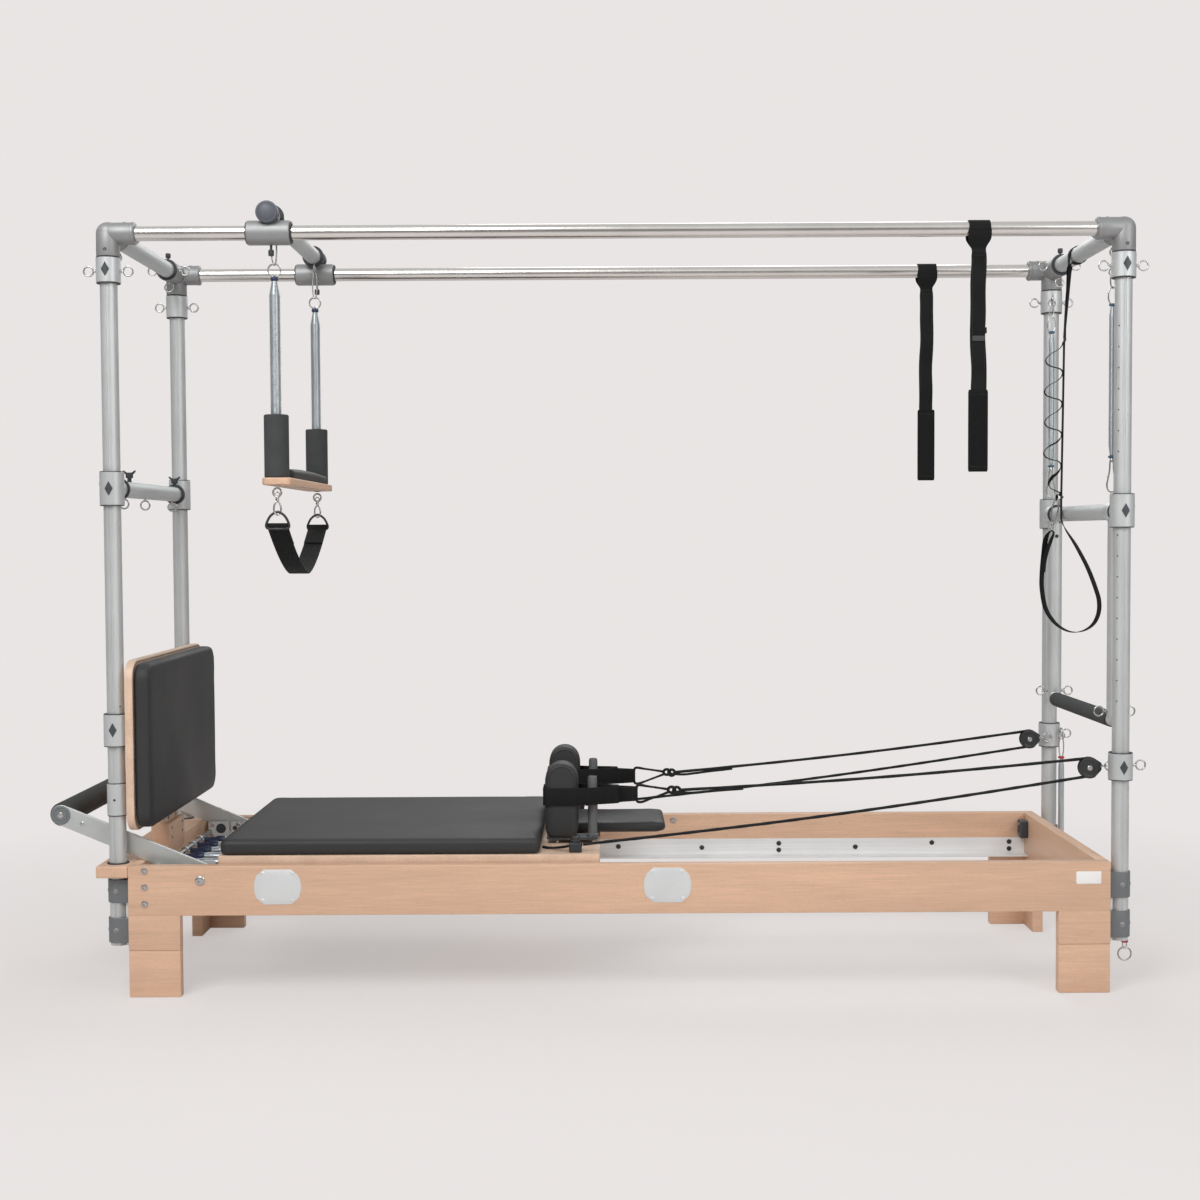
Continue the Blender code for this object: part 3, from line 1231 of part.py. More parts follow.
def build():
    frames = [side_frame(side) for side in (NEAR, FAR)]
    for item in (*frames, head_end_board(), foot_end_board()):
        finish(item, "beech")
    for side in (NEAR, FAR):
        finish(track(side), "satin_aluminium")
        finish(top_rail(side), "polished_steel")
        finish(pulley_collar(side), "grey_casting")
        for end in (FOOT, HEAD):
            finish(post(end, side), "satin_aluminium")
            finish(corner_fitting(end, side), "grey_casting")
            finish(post_bracket(end, side), "dark_casting")
    finish(spring_anchor_bar(), "polished_steel")
    for end in (FOOT, HEAD):
        finish(top_crossbar(end), "satin_aluminium")
    finish(pivot_crossbar(), "grey_casting")

    carriage = [finish(carriage_deck(), "beech"), finish(carriage_pad(), "grey_upholstery")]
    carriage_pivot = hold("carriage_pivot", (DECK_START, 0, AXLE_Z), carriage)
    head = hold("headrest_pivot", (HEADREST_HINGE_X, 0, HEADREST_HINGE_Z), [finish(headrest(), "grey_upholstery")])
    under(head, carriage_pivot)
    for index, x in enumerate(AXLE_XS):
        axle = finish(wheel_axle(index), "black_plastic")
        under(hold(axle.name + "_pivot", (x, 0, AXLE_Z), [axle]), carriage_pivot)
    for side in (NEAR, FAR):
        rest = finish(shoulder_rest(side), "grey_upholstery")
        under(hold(rest.name + "_pivot", (REST_X, side * REST_Y, DECK_TOP), [rest]), carriage_pivot)
        finish(rope(side), "black_webbing")
        finish(pulley_block(side), "black_plastic")
        finish(sheave(side), "black_plastic")
    finish(reformer_springs(), "spring_steel")

    footbar = [finish(footbar_frame(), "satin_aluminium"), finish(footbar_grip(), "grey_foam")]
    hold("footbar_pivot", (FOOTBAR_PIVOT_X, 0, FOOTBAR_PIVOT_Z), footbar)
    board = [finish(jumpboard(), "beech"), finish(jumpboard_pad(), "grey_upholstery")]
    hold("jumpboard_pivot", (JUMP_BACK, 0, JUMP_BOTTOM), board)

    push = [finish(push_through_bar(), "satin_aluminium"), finish(push_through_grip(), "grey_foam")]
    hold("push_through_pivot", (POST_X, 0, PIVOT_Z), push)
    hold("foot_crossbar_pivot", (-POST_X, 0, FOOT_BAR_Z), [finish(foot_crossbar(), "grey_casting")])

    slider = hold("trapeze_pivot", (TRAPEZE_X, 0, TOP_TUBE_Z), [finish(trapeze_crossbar(), "grey_casting")])
    swing = [finish(swing_spring(side), "spring_steel") for side in (NEAR, FAR)]
    swing += [finish(swing_seat(), "beech"), finish(swing_padding(), "grey_foam")]
    sway = under(hold("swing_pivot", (SWING_X, 0, SWING_EYE_Z - EYE_RADIUS), swing), slider)
    strap = [finish(swing_strap(), "black_webbing")]
    under(hold("swing_strap_pivot", (SWING_X, 0, SEAT_EYE_Z - EYE_RADIUS), strap), sway)

    for side in (NEAR, FAR):
        arm = finish(arm_spring(side), "spring_steel")
        hold(arm.name + "_pivot", (ARM_SPRING_X, side * ARM_SPRING_Y, ARM_EYE_Z - EYE_RADIUS), [arm])
        leg = finish(leg_spring(side), "spring_steel")
        hold(leg.name + "_pivot", (LEG_SPRING_X, side * LEG_SPRING_Y, LEG_EYE_Z - EYE_RADIUS), [leg])
        strap = finish(top_strap(side), "black_webbing")
        hold(strap.name + "_pivot", (TOP_STRAP_X + FROM_HEAD, side * POST_Y, TOP_TUBE_Z), [strap])
    hold("safety_strap_pivot", (POST_X, 0, TOP_TUBE_Z), [finish(safety_strap(), "black_webbing")])


def centre_on_box():
    """Hangs everything from one empty, moved so that the box's middle lies over the origin."""
    left = FOOTBAR_TIP.x - FOOTBAR_FOAM_RADIUS
    right = POST_X + 0.0485 + EYE_RADIUS + EYE_WIRE
    root = bpy.data.objects.new("reformer_root", None)
    PARTS.objects.link(root)
    for item in [*PARTS.objects, *CUTTERS.objects]:
        if item.parent is None and item is not root:
            item.parent = root
    root.location.x = -(left + right) / 2


build()
centre_on_box()
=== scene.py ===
"""Looks for the pilates reformer with a four-post tower.

Metres, +Z up. Pieces are drawn from the middle of the bed's footprint, with the foot end at -X and
the near side at -Y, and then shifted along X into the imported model's own frame.
"""

from math import asin, atan2, cos, degrees, exp, hypot, pi, radians, sin, sqrt

import bmesh
import bpy
import numpy as np
from mathutils import Matrix, Vector


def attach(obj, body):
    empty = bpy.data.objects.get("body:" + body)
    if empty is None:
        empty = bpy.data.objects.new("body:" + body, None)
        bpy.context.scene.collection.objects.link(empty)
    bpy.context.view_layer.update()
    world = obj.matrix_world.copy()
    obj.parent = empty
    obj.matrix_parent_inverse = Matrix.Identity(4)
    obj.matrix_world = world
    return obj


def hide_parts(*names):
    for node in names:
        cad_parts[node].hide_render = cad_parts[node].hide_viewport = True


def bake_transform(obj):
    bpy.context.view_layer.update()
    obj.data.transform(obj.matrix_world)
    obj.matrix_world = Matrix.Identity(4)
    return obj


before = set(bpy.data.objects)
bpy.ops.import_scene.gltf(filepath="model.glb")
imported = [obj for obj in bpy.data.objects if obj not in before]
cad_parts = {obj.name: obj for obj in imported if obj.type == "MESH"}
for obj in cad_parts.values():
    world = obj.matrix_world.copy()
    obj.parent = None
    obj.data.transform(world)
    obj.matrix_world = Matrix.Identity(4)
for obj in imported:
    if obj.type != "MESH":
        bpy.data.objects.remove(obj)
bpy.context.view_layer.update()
SHIFT = 0.0569611411
NEAR, FAR = -1, 1
FOOT, HEAD = -1, 1
BOTH = (NEAR, FAR)
SIDES = {NEAR: "near", FAR: "far"}
ENDS = {FOOT: "foot", HEAD: "head"}
X, Y, Z = (1, 0, 0), (0, 1, 0), (0, 0, 1)


# Shapes
class Shape:
    """Corner points and faces gathered from several simple solids."""

    def __init__(self):
        self.points, self.faces, self.count = [], [], 0

    def add(self, points, faces):
        self.points.append(np.asarray(points, float))
        self.faces += [tuple(i + self.count for i in face) for face in faces]
        self.count += len(points)
        return self

    def take(self, mesh):
        mesh.verts.index_update()
        points = [tuple(v.co) for v in mesh.verts]
        faces = [tuple(v.index for v in f.verts) for f in mesh.faces]
        mesh.free()
        return self.add(points, faces)


def shapes(count):
    return [Shape() for _ in range(count)]


def array(point):
    return np.asarray(point, float)


def unit(vector):
    vector = array(vector)
    return vector / np.linalg.norm(vector)


def gap(a, b):
    return float(np.linalg.norm(np.subtract(a, b)))


def lengths(line):
    return sum(gap(a, b) for a, b in zip(line, line[1:]))


def spread(line, least):
    """The line without points that lie nearly on the one before."""
    return [p for i, p in enumerate(line) if i == 0 or gap(p, line[i - 1]) > least]


def turns(steps):
    return np.arange(steps) * 2 * pi / steps


def fan(start, end, count):
    return np.radians(np.linspace(start, end, count))


def circle(radius, sides, lobes=0, depth=0.0):
    reach = radius * (1 + depth * np.cos(lobes * turns(sides)))
    return np.stack([reach * np.cos(turns(sides)), reach * np.sin(turns(sides))], axis=1)


def rounded(wide, thick, radius, steps=3):
    """The outline of a flat strap's or bar's section, with rounded corners."""
    points = []
    for cx, cy, start in ((1, 1, 0), (-1, 1, 90), (-1, -1, 180), (1, -1, 270)):
        for step in range(steps + 1):
            turn = radians(start + 90 * step / steps)
            points.append((cx * (wide / 2 - radius) + radius * cos(turn),
                           cy * (thick / 2 - radius) + radius * sin(turn)))
    return np.array(points)


def smooth(points, per=6, closed=False):
    """A Catmull-Rom curve through the points."""
    p = [array(q) for q in points]
    n = len(p)
    out = []
    for i in range(n if closed else n - 1):
        a = p[(i - 1) % n] if closed or i > 0 else 2 * p[0] - p[1]
        b, c = p[i], p[(i + 1) % n]
        d = p[(i + 2) % n] if closed or i < n - 2 else 2 * p[-1] - p[-2]
        for step in range(per):
            t = step / per
            square, cube = 2 * a - 5 * b + 4 * c - d, 3 * b - a - 3 * c + d
            out.append(0.5 * (2 * b + (c - a) * t + square * t * t + cube * t ** 3))
    if not closed:
        out.append(p[-1])
    return np.array(out)


def sweep(shape, line, section, across=None, scales=None, closed=False, twist=0.0):
    """Sweeps a closed section along the line. Its first axis follows across, where that is given."""
    line, section = array(line), array(section)
    ahead = np.roll(line, -1, 0) - np.roll(line, 1, 0) if closed else np.gradient(line, axis=0)
    ahead /= np.linalg.norm(ahead, axis=1)[:, None]
    if across is None:
        start = unit(np.cross(ahead[0], ahead[len(line) // 3] if closed else (0.31, 0.17, 0.93)))
    rings, turn = [], 0.0
    for i, point in enumerate(line):
        if across is not None:
            start = array(across[i] if np.ndim(across) == 2 else across)
        start = unit(start - (start @ ahead[i]) * ahead[i])
        v = np.cross(ahead[i], start)
        s = section if scales is None else section * np.asarray(scales[i])
        if twist and i:
            turn += twist * np.linalg.norm(line[i] - line[i - 1])
            c, d = cos(turn), sin(turn)
            s = s @ np.array([[c, d], [-d, c]])
        rings.append(point + s[:, :1] * start + s[:, 1:] * v)
    n, m = len(line), len(section)
    faces = []
    for i in range(n if closed else n - 1):
        j = (i + 1) % n
        for k in range(m):
            l = (k + 1) % m
            faces.append((i * m + k, i * m + l, j * m + l, j * m + k))
    if not closed:
        faces += [tuple(range(m))[::-1], tuple((n - 1) * m + k for k in range(m))]
    return shape.add(np.concatenate(rings), faces)


def lathe(shape, profile, centre, axis, sides=36, closed=False):
    """Turns (radius, height) points about the axis through the centre."""
    w = unit(axis)
    u = unit(np.cross(w, (0.0, 0.0, 1.0)) if abs(w[2]) < 0.9 else np.cross(w, (1.0, 0.0, 0.0)))
    v = np.cross(w, u)
    base = array(centre)
    points, rows, faces = [], [], []
    for radius, height in profile:
        if radius < 1e-7:
            rows.append([len(points)])
            points.append(base + w * height)
            continue
        rows.append(list(range(len(points), len(points) + sides)))
        for k in range(sides):
            turn = 2 * pi * k / sides
            points.append(base + w * height + radius * (cos(turn) * u + sin(turn) * v))
    for a, b in list(zip(rows, rows[1:])) + ([(rows[-1], rows[0])] if closed else []):
        for k in range(sides):
            l = (k + 1) % sides
            if len(a) == 1 and len(b) > 1:
                faces.append((a[0], b[k], b[l]))
            elif len(b) == 1 and len(a) > 1:
                faces.append((a[k], b[0], a[l]))
            elif len(a) > 1:
                faces.append((a[k], b[k], b[l], a[l]))
    return shape.add(points, faces)


def washer(shape, profile, centre, axis, sides=48):
    return lathe(shape, profile, centre, axis, sides, closed=True)


def rod(shape, start, end, radius, soft=0.0008, sides=36, end_radius=None):
    """A round bar with softened edges, tapered where the second radius differs."""
    start, end = array(start), array(end)
    long = float(np.linalg.norm(end - start))
    far = radius if end_radius is None else end_radius
    soft = min(soft, 0.45 * radius, 0.45 * far, 0.3 * long)
    profile = [(0, 0), (radius - soft, 0), (radius - 0.3 * soft, 0.3 * soft), (radius, soft)]
    profile += [(far, long - soft), (far - 0.3 * soft, long - 0.3 * soft), (far - soft, long), (0, long)]
    return lathe(shape, profile, start, end - start, sides)


def tube(shape, start, end, radius, bore, soft=0.0008, sides=36):
    """A hollow round bar, open at both ends."""
    start, end = array(start), array(end)
    long = float(np.linalg.norm(end - start))
    profile = [(bore, 0), (radius - soft, 0), (radius, soft)]
    profile += [(radius, long - soft), (radius - soft, long), (bore, long)]
    return washer(shape, profile, start, end - start, sides)


def ring(shape, centre, axis, radius, wire, steps=36, sides=12):
    w = unit(axis)
    u = unit(np.cross(w, (0.2, 0.3, 1.0) if abs(w[2]) < 0.9 else (1.0, 0.2, 0.1)))
    v = np.cross(w, u)
    line = [array(centre) + radius * (cos(a) * u + sin(a) * v) for a in turns(steps)]
    return sweep(shape, line, circle(wire, sides), closed=True)


def link(shape, centre, wide, tall, wire, sides=12, steps=32):
    """An oval wire link that stands upright and faces the side."""
    x, y, z = centre
    line = [(x + wide * sin(a), y, z + tall * cos(a)) for a in turns(steps)]
    return sweep(shape, line, circle(wire, sides), across=Y, closed=True)


def block(shape, x, y, z, soft=0.0015, segments=2):
    """A box between three (low, high) pairs, with rounded edges."""
    low, high = Vector((min(x), min(y), min(z))), Vector((max(x), max(y), max(z)))
    mesh = bmesh.new()
    bmesh.ops.create_cube(mesh, size=1.0)
    bmesh.ops.scale(mesh, vec=high - low, verts=mesh.verts)
    bmesh.ops.translate(mesh, vec=(low + high) / 2, verts=mesh.verts)
    soft = min(soft, 0.45 * min(high - low))
    bmesh.ops.bevel(mesh, geom=mesh.edges[:], offset=soft, segments=segments, profile=0.5, affect="EDGES")
    return shape.take(mesh)


def prism(shape, outline, low, high, axis, soft=0.0015, segments=2):
    """An outline raised along an axis, its rims rounded. For y the outline is (x, z), for x it is (y, z)."""
    place = {"x": lambda a, b, h: (h, a, b), "y": lambda a, b, h: (a, h, b), "z": lambda a, b, h: (a, b, h)}[axis]
    mesh = bmesh.new()
    base = [mesh.verts.new(place(a, b, low)) for a, b in outline]
    roof = [mesh.verts.new(place(a, b, high)) for a, b in outline]
    n = len(outline)
    mesh.faces.new(base)
    mesh.faces.new(roof[::-1])
    for i in range(n):
        mesh.faces.new((base[i], roof[i], roof[(i + 1) % n], base[(i + 1) % n]))
    bmesh.ops.recalc_face_normals(mesh, faces=mesh.faces)
    if soft:
        sharp = [e for e in mesh.edges if e.calc_face_angle(0) > radians(35)]
        bmesh.ops.bevel(mesh, geom=sharp, offset=soft, segments=segments, profile=0.5, affect="EDGES")
    return shape.take(mesh)


def arc(centre, radius, start, end, steps):
    return [(centre[0] + radius * cos(a), centre[1] + radius * sin(a))
            for a in fan(start, end, steps + 1)]


def rounded_outline(low, high, radius, steps=8):
    left, right, bottom, top = low[0] + radius, high[0] - radius, low[1] + radius, high[1] - radius
    points = []
    for centre, start in (((right, top), 0), ((left, top), 90), ((left, bottom), 180), ((right, bottom), 270)):
        points += arc(centre, radius, start, start + 90, steps)
    return points


def slab(shape, low, high, radius, steps, bottom, top, soft, segments=2, axis="z"):
    """A plate with round corners, raised along an axis."""
    return prism(shape, rounded_outline(low, high, radius, steps), bottom, top, axis, soft, segments)


def coil(shape, start, end, radius, wire, sides=16, ends=(1.0, 1.0), taper=0.03):
    """A close-wound spring: one ridged skin whose rows climb round it, narrowed at its ends."""
    start, end = array(start), array(end)
    w = unit(end - start)
    u = unit(np.cross(w, (0.0, 0.0, 1.0) if abs(w[2]) < 0.9 else (1.0, 0.0, 0.0)))
    v = np.cross(w, u)
    long = float(np.linalg.norm(end - start))
    dips = (0.0, 0.42, 0.42)
    per = len(dips)
    rows = int((long - wire) / wire) * per
    round_it = np.cos(turns(sides))[:, None] * u + np.sin(turns(sides))[:, None] * v
    points = []
    for i in range(rows + 1):
        along = (i / per + np.arange(sides) / sides) * wire
        share = np.minimum(1, ends[0] + (1 - ends[0]) * along / taper)
        share = share * np.minimum(1, ends[1] + (1 - ends[1]) * (long - along) / taper)
        reach = (radius * share - dips[i % per] * wire)[:, None]
        points.append(start + along[:, None] * w + reach * round_it)
    faces = []
    for i in range(rows):
        row, after = i * sides, (i + 1) * sides
        faces += [(row + k, row + k + 1, after + k + 1, after + k) for k in range(sides - 1)]
        if i + per + 1 <= rows:
            faces.append((after - 1, (i + per) * sides, (i + per + 1) * sides, after + sides - 1))
    return shape.add(np.concatenate(points), faces)


def item_from(name, shape):
    """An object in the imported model's frame, made of the shape's points and faces."""
    mesh = bpy.data.meshes.new(name)
    mesh.from_pydata([(x + SHIFT, y, z) for x, y, z in np.concatenate(shape.points)], [], shape.faces)
    item = bpy.data.objects.new(name, mesh)
    bpy.context.scene.collection.objects.link(item)
    return item


def piece(name, shape, look, body, *nodes, slot=None, crease=35):
    """Makes one visible piece, which rides on a CAD body and stands for the named nodes."""
    item = item_from(name, shape)
    facing = bmesh.new()
    facing.from_mesh(item.data)
    bmesh.ops.recalc_face_normals(facing, faces=facing.faces)
    facing.to_mesh(item.data)
    facing.free()
    return dress(item, look, body, *nodes, slot=slot, crease=crease)


def pieces(start, body, *rows):
    """Pieces of one body whose names, and their nodes' names, begin alike: (name, shape, look, *nodes)."""
    for name, shape, look, *nodes in rows:
        piece(start + name, shape, look, body, *(start + end for end in nodes))


def dress(item, look, body, *nodes, slot=None, crease=35):
    item.data.materials.clear()
    item.data.materials.append(LOOKS[look])
    item.data.shade_smooth()
    if crease:
        item.data.set_sharp_from_angle(angle=radians(crease))
    if body:
        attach(item, body)
    if nodes:
        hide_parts(*nodes)
    return item


# Materials
def begin(name, roughness, metallic=0.0, **sockets):
    made = bpy.data.materials.new(name)
    made.use_nodes = True
    tree = made.node_tree
    shader = tree.nodes["Principled BSDF"]
    shader.inputs["Roughness"].default_value = roughness
    shader.inputs["Metallic"].default_value = metallic
    for socket, value in sockets.items():
        shader.inputs[socket.replace("_", " ")].default_value = value
    return made, tree, shader


def node(tree, kind, inputs=(), **settings):
    made = tree.nodes.new(kind)
    for key, value in settings.items():
        setattr(made, key, value)
    for key, value in dict(inputs).items():
        if isinstance(value, bpy.types.NodeSocket):
            tree.links.new(value, made.inputs[key])
        else:
            made.inputs[key].default_value = value
    return made


def spot(tree, scale=(1, 1, 1)):
    """The piece's own coordinates, stretched."""
    place = node(tree, "ShaderNodeTexCoord").outputs["Object"]
    return node(tree, "ShaderNodeMapping", {"Vector": place, "Scale": scale}).outputs["Vector"]


def noise(tree, vector, scale, detail=3.0, roughness=0.5, distortion=0.0):
    inputs = {"Vector": vector, "Scale": scale, "Detail": detail, "Roughness": roughness, "Distortion": distortion}
    return node(tree, "ShaderNodeTexNoise", inputs).outputs["Fac"]


def cells(tree, vector, scale):
    return node(tree, "ShaderNodeTexVoronoi", {"Vector": vector, "Scale": scale}).outputs["Distance"]


def ramp(tree, fac, *stops):
    made = node(tree, "ShaderNodeValToRGB", {"Fac": fac})
    line = made.color_ramp.elements
    while len(line) < len(stops):
        line.new(0.5)
    for element, (place, colour) in zip(line, stops):
        element.position = place
        element.color = (*colour, 1.0)
    return made.outputs["Color"]


def span(tree, fac, low, high, start=0.3, end=0.7):
    inputs = {"Value": fac, "From Min": start, "From Max": end, "To Min": low, "To Max": high}
    return node(tree, "ShaderNodeMapRange", inputs).outputs["Result"]


def times(tree, colour, fac):
    """The colour, darkened or lightened by a number."""
    made = node(tree, "ShaderNodeVectorMath", operation="SCALE")
    tree.links.new(colour, made.inputs[0])
    tree.links.new(fac, made.inputs["Scale"])
    return made.outputs["Vector"]


def sums(tree, *values):
    total = values[0]
    for value in values[1:]:
        made = node(tree, "ShaderNodeMath", operation="ADD")
        tree.links.new(total, made.inputs[0])
        tree.links.new(value, made.inputs[1])
        total = made.outputs["Value"]
    return total


def dent(tree, shader, height, strength, distance):
    made = node(tree, "ShaderNodeBump", {"Height": height, "Strength": strength, "Distance": distance})
    tree.links.new(made.outputs["Normal"], shader.inputs["Normal"])


def shade(colour, share):
    return tuple(min(1.0, c * share) for c in colour)


def stretched(axis, lengthwise, across):
    return tuple(lengthwise if i == axis else across for i in range(3))


def wood(name, axis, tone=(0.716, 0.462, 0.314)):
    """Steamed beech: long soft figure, short dark flecks and faintly different staves."""
    made, tree, shader = begin(name, 0.42, Coat_Weight=0.12, Coat_Roughness=0.35)
    figure = noise(tree, spot(tree, stretched(axis, 1.0, 13.0)), 3.0, 5.0, 0.6, 0.7)
    fine = noise(tree, spot(tree, stretched(axis, 6.0, 150.0)), 2.2, 3.0)
    staves = noise(tree, spot(tree, stretched(axis, 0.35, 5.5)), 2.6, 1.0)
    fleck = noise(tree, spot(tree, stretched(axis, 95.0, 900.0)), 1.0, 1.0)
    colour = ramp(tree, figure, (0.22, shade(tone, 0.86)), (0.42, shade(tone, 0.96)), (0.6, tone),
                  (0.82, shade(tone, 1.09)))
    colour = times(tree, colour, span(tree, fine, 0.93, 1.05))
    colour = times(tree, colour, span(tree, staves, 0.94, 1.06))
    colour = times(tree, colour, span(tree, fleck, 1.0, 0.82, 0.6, 0.74))
    tree.links.new(colour, shader.inputs["Base Color"])
    tree.links.new(span(tree, fine, 0.36, 0.5), shader.inputs["Roughness"])
    dent(tree, shader, sums(tree, fine, fleck), 0.1, 0.0004)
    return made


def metal(name, colour, roughness, axis=None, metallic=1.0, grain=0.06, wear=0.1, **sockets):
    """Brushed along an axis where one is given, or cast with a fine speckle."""
    made, tree, shader = begin(name, roughness, metallic, **sockets)
    stretch = stretched(axis, 3.0, 700.0) if axis is not None else (900.0, 900.0, 900.0)
    brushed = noise(tree, spot(tree, stretch), 1.0, 2.0)
    clouds = noise(tree, spot(tree), 9.0, 3.0)
    tone = ramp(tree, brushed, (0.25, shade(colour, 1 - wear)), (0.75, shade(colour, 1 + wear * 0.6)))
    tree.links.new(times(tree, tone, span(tree, clouds, 0.96, 1.04)), shader.inputs["Base Color"])
    tree.links.new(span(tree, sums(tree, brushed, clouds), roughness * 0.88, roughness * 1.14, 0.7, 1.3),
                   shader.inputs["Roughness"])
    dent(tree, shader, brushed, grain, 0.0003)
    return made


def leatherette(name, colour):
    """Grey vinyl upholstery with a fine pebble and soft scuffs."""
    made, tree, shader = begin(name, 0.58, Specular_IOR_Level=0.32)
    pebble = cells(tree, spot(tree), 620.0)
    small = noise(tree, spot(tree), 1500.0, 2.0)
    clouds = noise(tree, spot(tree), 4.0, 4.0)
    tone = ramp(tree, pebble, (0.0, shade(colour, 0.86)), (0.55, colour), (1.0, shade(colour, 1.1)))
    tree.links.new(times(tree, tone, span(tree, clouds, 0.94, 1.07)), shader.inputs["Base Color"])
    tree.links.new(span(tree, clouds, 0.48, 0.62), shader.inputs["Roughness"])
    dent(tree, shader, sums(tree, pebble, small), 0.16, 0.0005)
    return made


def foam(name, colour):
    """Closed-cell foam sleeve with an open matte skin."""
    made, tree, shader = begin(name, 0.88, Specular_IOR_Level=0.25)
    pores = cells(tree, spot(tree), 1100.0)
    clouds = noise(tree, spot(tree), 26.0, 3.0)
    tone = ramp(tree, pores, (0.0, shade(colour, 0.75)), (0.4, colour), (1.0, shade(colour, 1.16)))
    tree.links.new(times(tree, tone, span(tree, clouds, 0.93, 1.07)), shader.inputs["Base Color"])
    dent(tree, shader, sums(tree, pores, clouds), 0.28, 0.0006)
    return made


def woven(name, colour, pitch, roughness=0.78):
    """Ribbed webbing: warp and weft ridges a pitch apart in the piece's own axes."""
    made, tree, shader = begin(name, roughness, Sheen_Weight=0.04, Sheen_Roughness=0.4, Specular_IOR_Level=0.22)
    ribs = []
    for axis in "XYZ":
        inputs = {"Vector": spot(tree), "Scale": 0.314 / pitch, "Distortion": 0.6, "Detail": 1.0}
        ribs.append(node(tree, "ShaderNodeTexWave", inputs, bands_direction=axis).outputs["Fac"])
    fuzz = noise(tree, spot(tree), 1300.0, 2.0)
    height = sums(tree, *ribs, fuzz)
    tone = ramp(tree, span(tree, height, 0.0, 1.0, 0.8, 2.8), (0.1, shade(colour, 0.55)), (0.9, shade(colour, 1.5)))
    tree.links.new(tone, shader.inputs["Base Color"])
    dent(tree, shader, height, 0.35, 0.0006)
    return made


def moulded(name, colour, roughness, speckle=0.06, **sockets):
    """Moulded plastic, rubber or paint with a fine orange peel."""
    made, tree, shader = begin(name, roughness, **sockets)
    peel = noise(tree, spot(tree), 800.0, 3.0)
    clouds = noise(tree, spot(tree), 18.0, 3.0)
    tone = ramp(tree, sums(tree, peel, clouds), (0.7, shade(colour, 1 - speckle)), (1.0, shade(colour, 1 + speckle)))
    tree.links.new(tone, shader.inputs["Base Color"])
    tree.links.new(span(tree, clouds, roughness * 0.85, roughness * 1.15), shader.inputs["Roughness"])
    dent(tree, shader, peel, 0.08, 0.0003)
    return made


LOOKS = {
    "wood_x": wood("beech_lengthwise", 0),
    "wood_y": wood("beech_crosswise", 1),
    "wood_z": wood("beech_upright", 2, (0.73, 0.468, 0.318)),
    "ply_edge": wood("birch_ply_edge", 1, (0.755, 0.545, 0.405)),
    "aluminium_z": metal("satin_aluminium_upright", (0.615, 0.638, 0.642), 0.46, 2, 0.55),
    "aluminium_x": metal("satin_aluminium_lengthwise", (0.8, 0.81, 0.815), 0.5, 0, 0.3),
    "aluminium_y": metal("satin_aluminium_crosswise", (0.53, 0.56, 0.562), 0.54, 1, 0.35),
    "painted_arm": metal("pale_painted_steel", (0.55, 0.575, 0.57), 0.42, None, 0.55, 0.05, 0.05),
    "casting": metal("grey_casting", (0.33, 0.335, 0.338), 0.5, None, 0.5, 0.12, 0.14),
    "collar": metal("pale_collar", (0.6, 0.625, 0.63), 0.44, None, 0.45, 0.08, 0.08),
    "dark_casting": metal("dark_casting", (0.19, 0.205, 0.215), 0.5, None, 0.35, 0.12, 0.12),
    "steel": metal("polished_steel", (0.74, 0.72, 0.695), 0.2, 0, 1.0, 0.006, 0.05),
    "chrome": metal("bright_fittings", (0.52, 0.52, 0.515), 0.25, None, 1.0, 0.03, 0.06),
    "zinc": metal("spring_zinc", (0.62, 0.66, 0.685), 0.38, None, 1.0, 0.06, 0.08),
    "plate": metal("barrel_plate", (0.76, 0.785, 0.79), 0.42, None, 0.45, 0.12, 0.08),
    "vinyl": leatherette("grey_upholstery", (0.034, 0.0352, 0.036)),
    "foam": foam("grey_foam", (0.06, 0.0625, 0.064)),
    "webbing": woven("black_webbing", (0.0068, 0.0072, 0.0076), 0.0021),
    "padded_webbing": woven("black_padded_webbing", (0.0062, 0.0064, 0.0068), 0.0034, 0.88),
    "rope": woven("black_rope", (0.012, 0.0128, 0.0135), 0.0016, 0.7),
    "thread": moulded("grey_thread", (0.045, 0.047, 0.048), 0.7),
    "plastic": moulded("black_plastic", (0.024, 0.025, 0.027), 0.36),
    "rubber": moulded("dark_rubber", (0.036, 0.04, 0.046), 0.62),
    "cap": moulded("blue_grey_cap", (0.095, 0.105, 0.125), 0.48),
    "peg": moulded("grey_peg", (0.115, 0.12, 0.122), 0.55),
    "galvanised": metal("galvanised_plate", (0.66, 0.675, 0.68), 0.46, None, 0.45, 0.12, 0.16),
    "inlay": moulded("dark_inlay", (0.052, 0.06, 0.066), 0.42),
    "label": moulded("blank_label", (0.86, 0.855, 0.84), 0.34, 0.02),
    "red": moulded("red_band", (0.42, 0.035, 0.055), 0.45),
    "teal": moulded("teal_band", (0.045, 0.11, 0.17), 0.42),
    "blue": moulded("blue_spring_end", (0.02, 0.032, 0.085), 0.4),
}


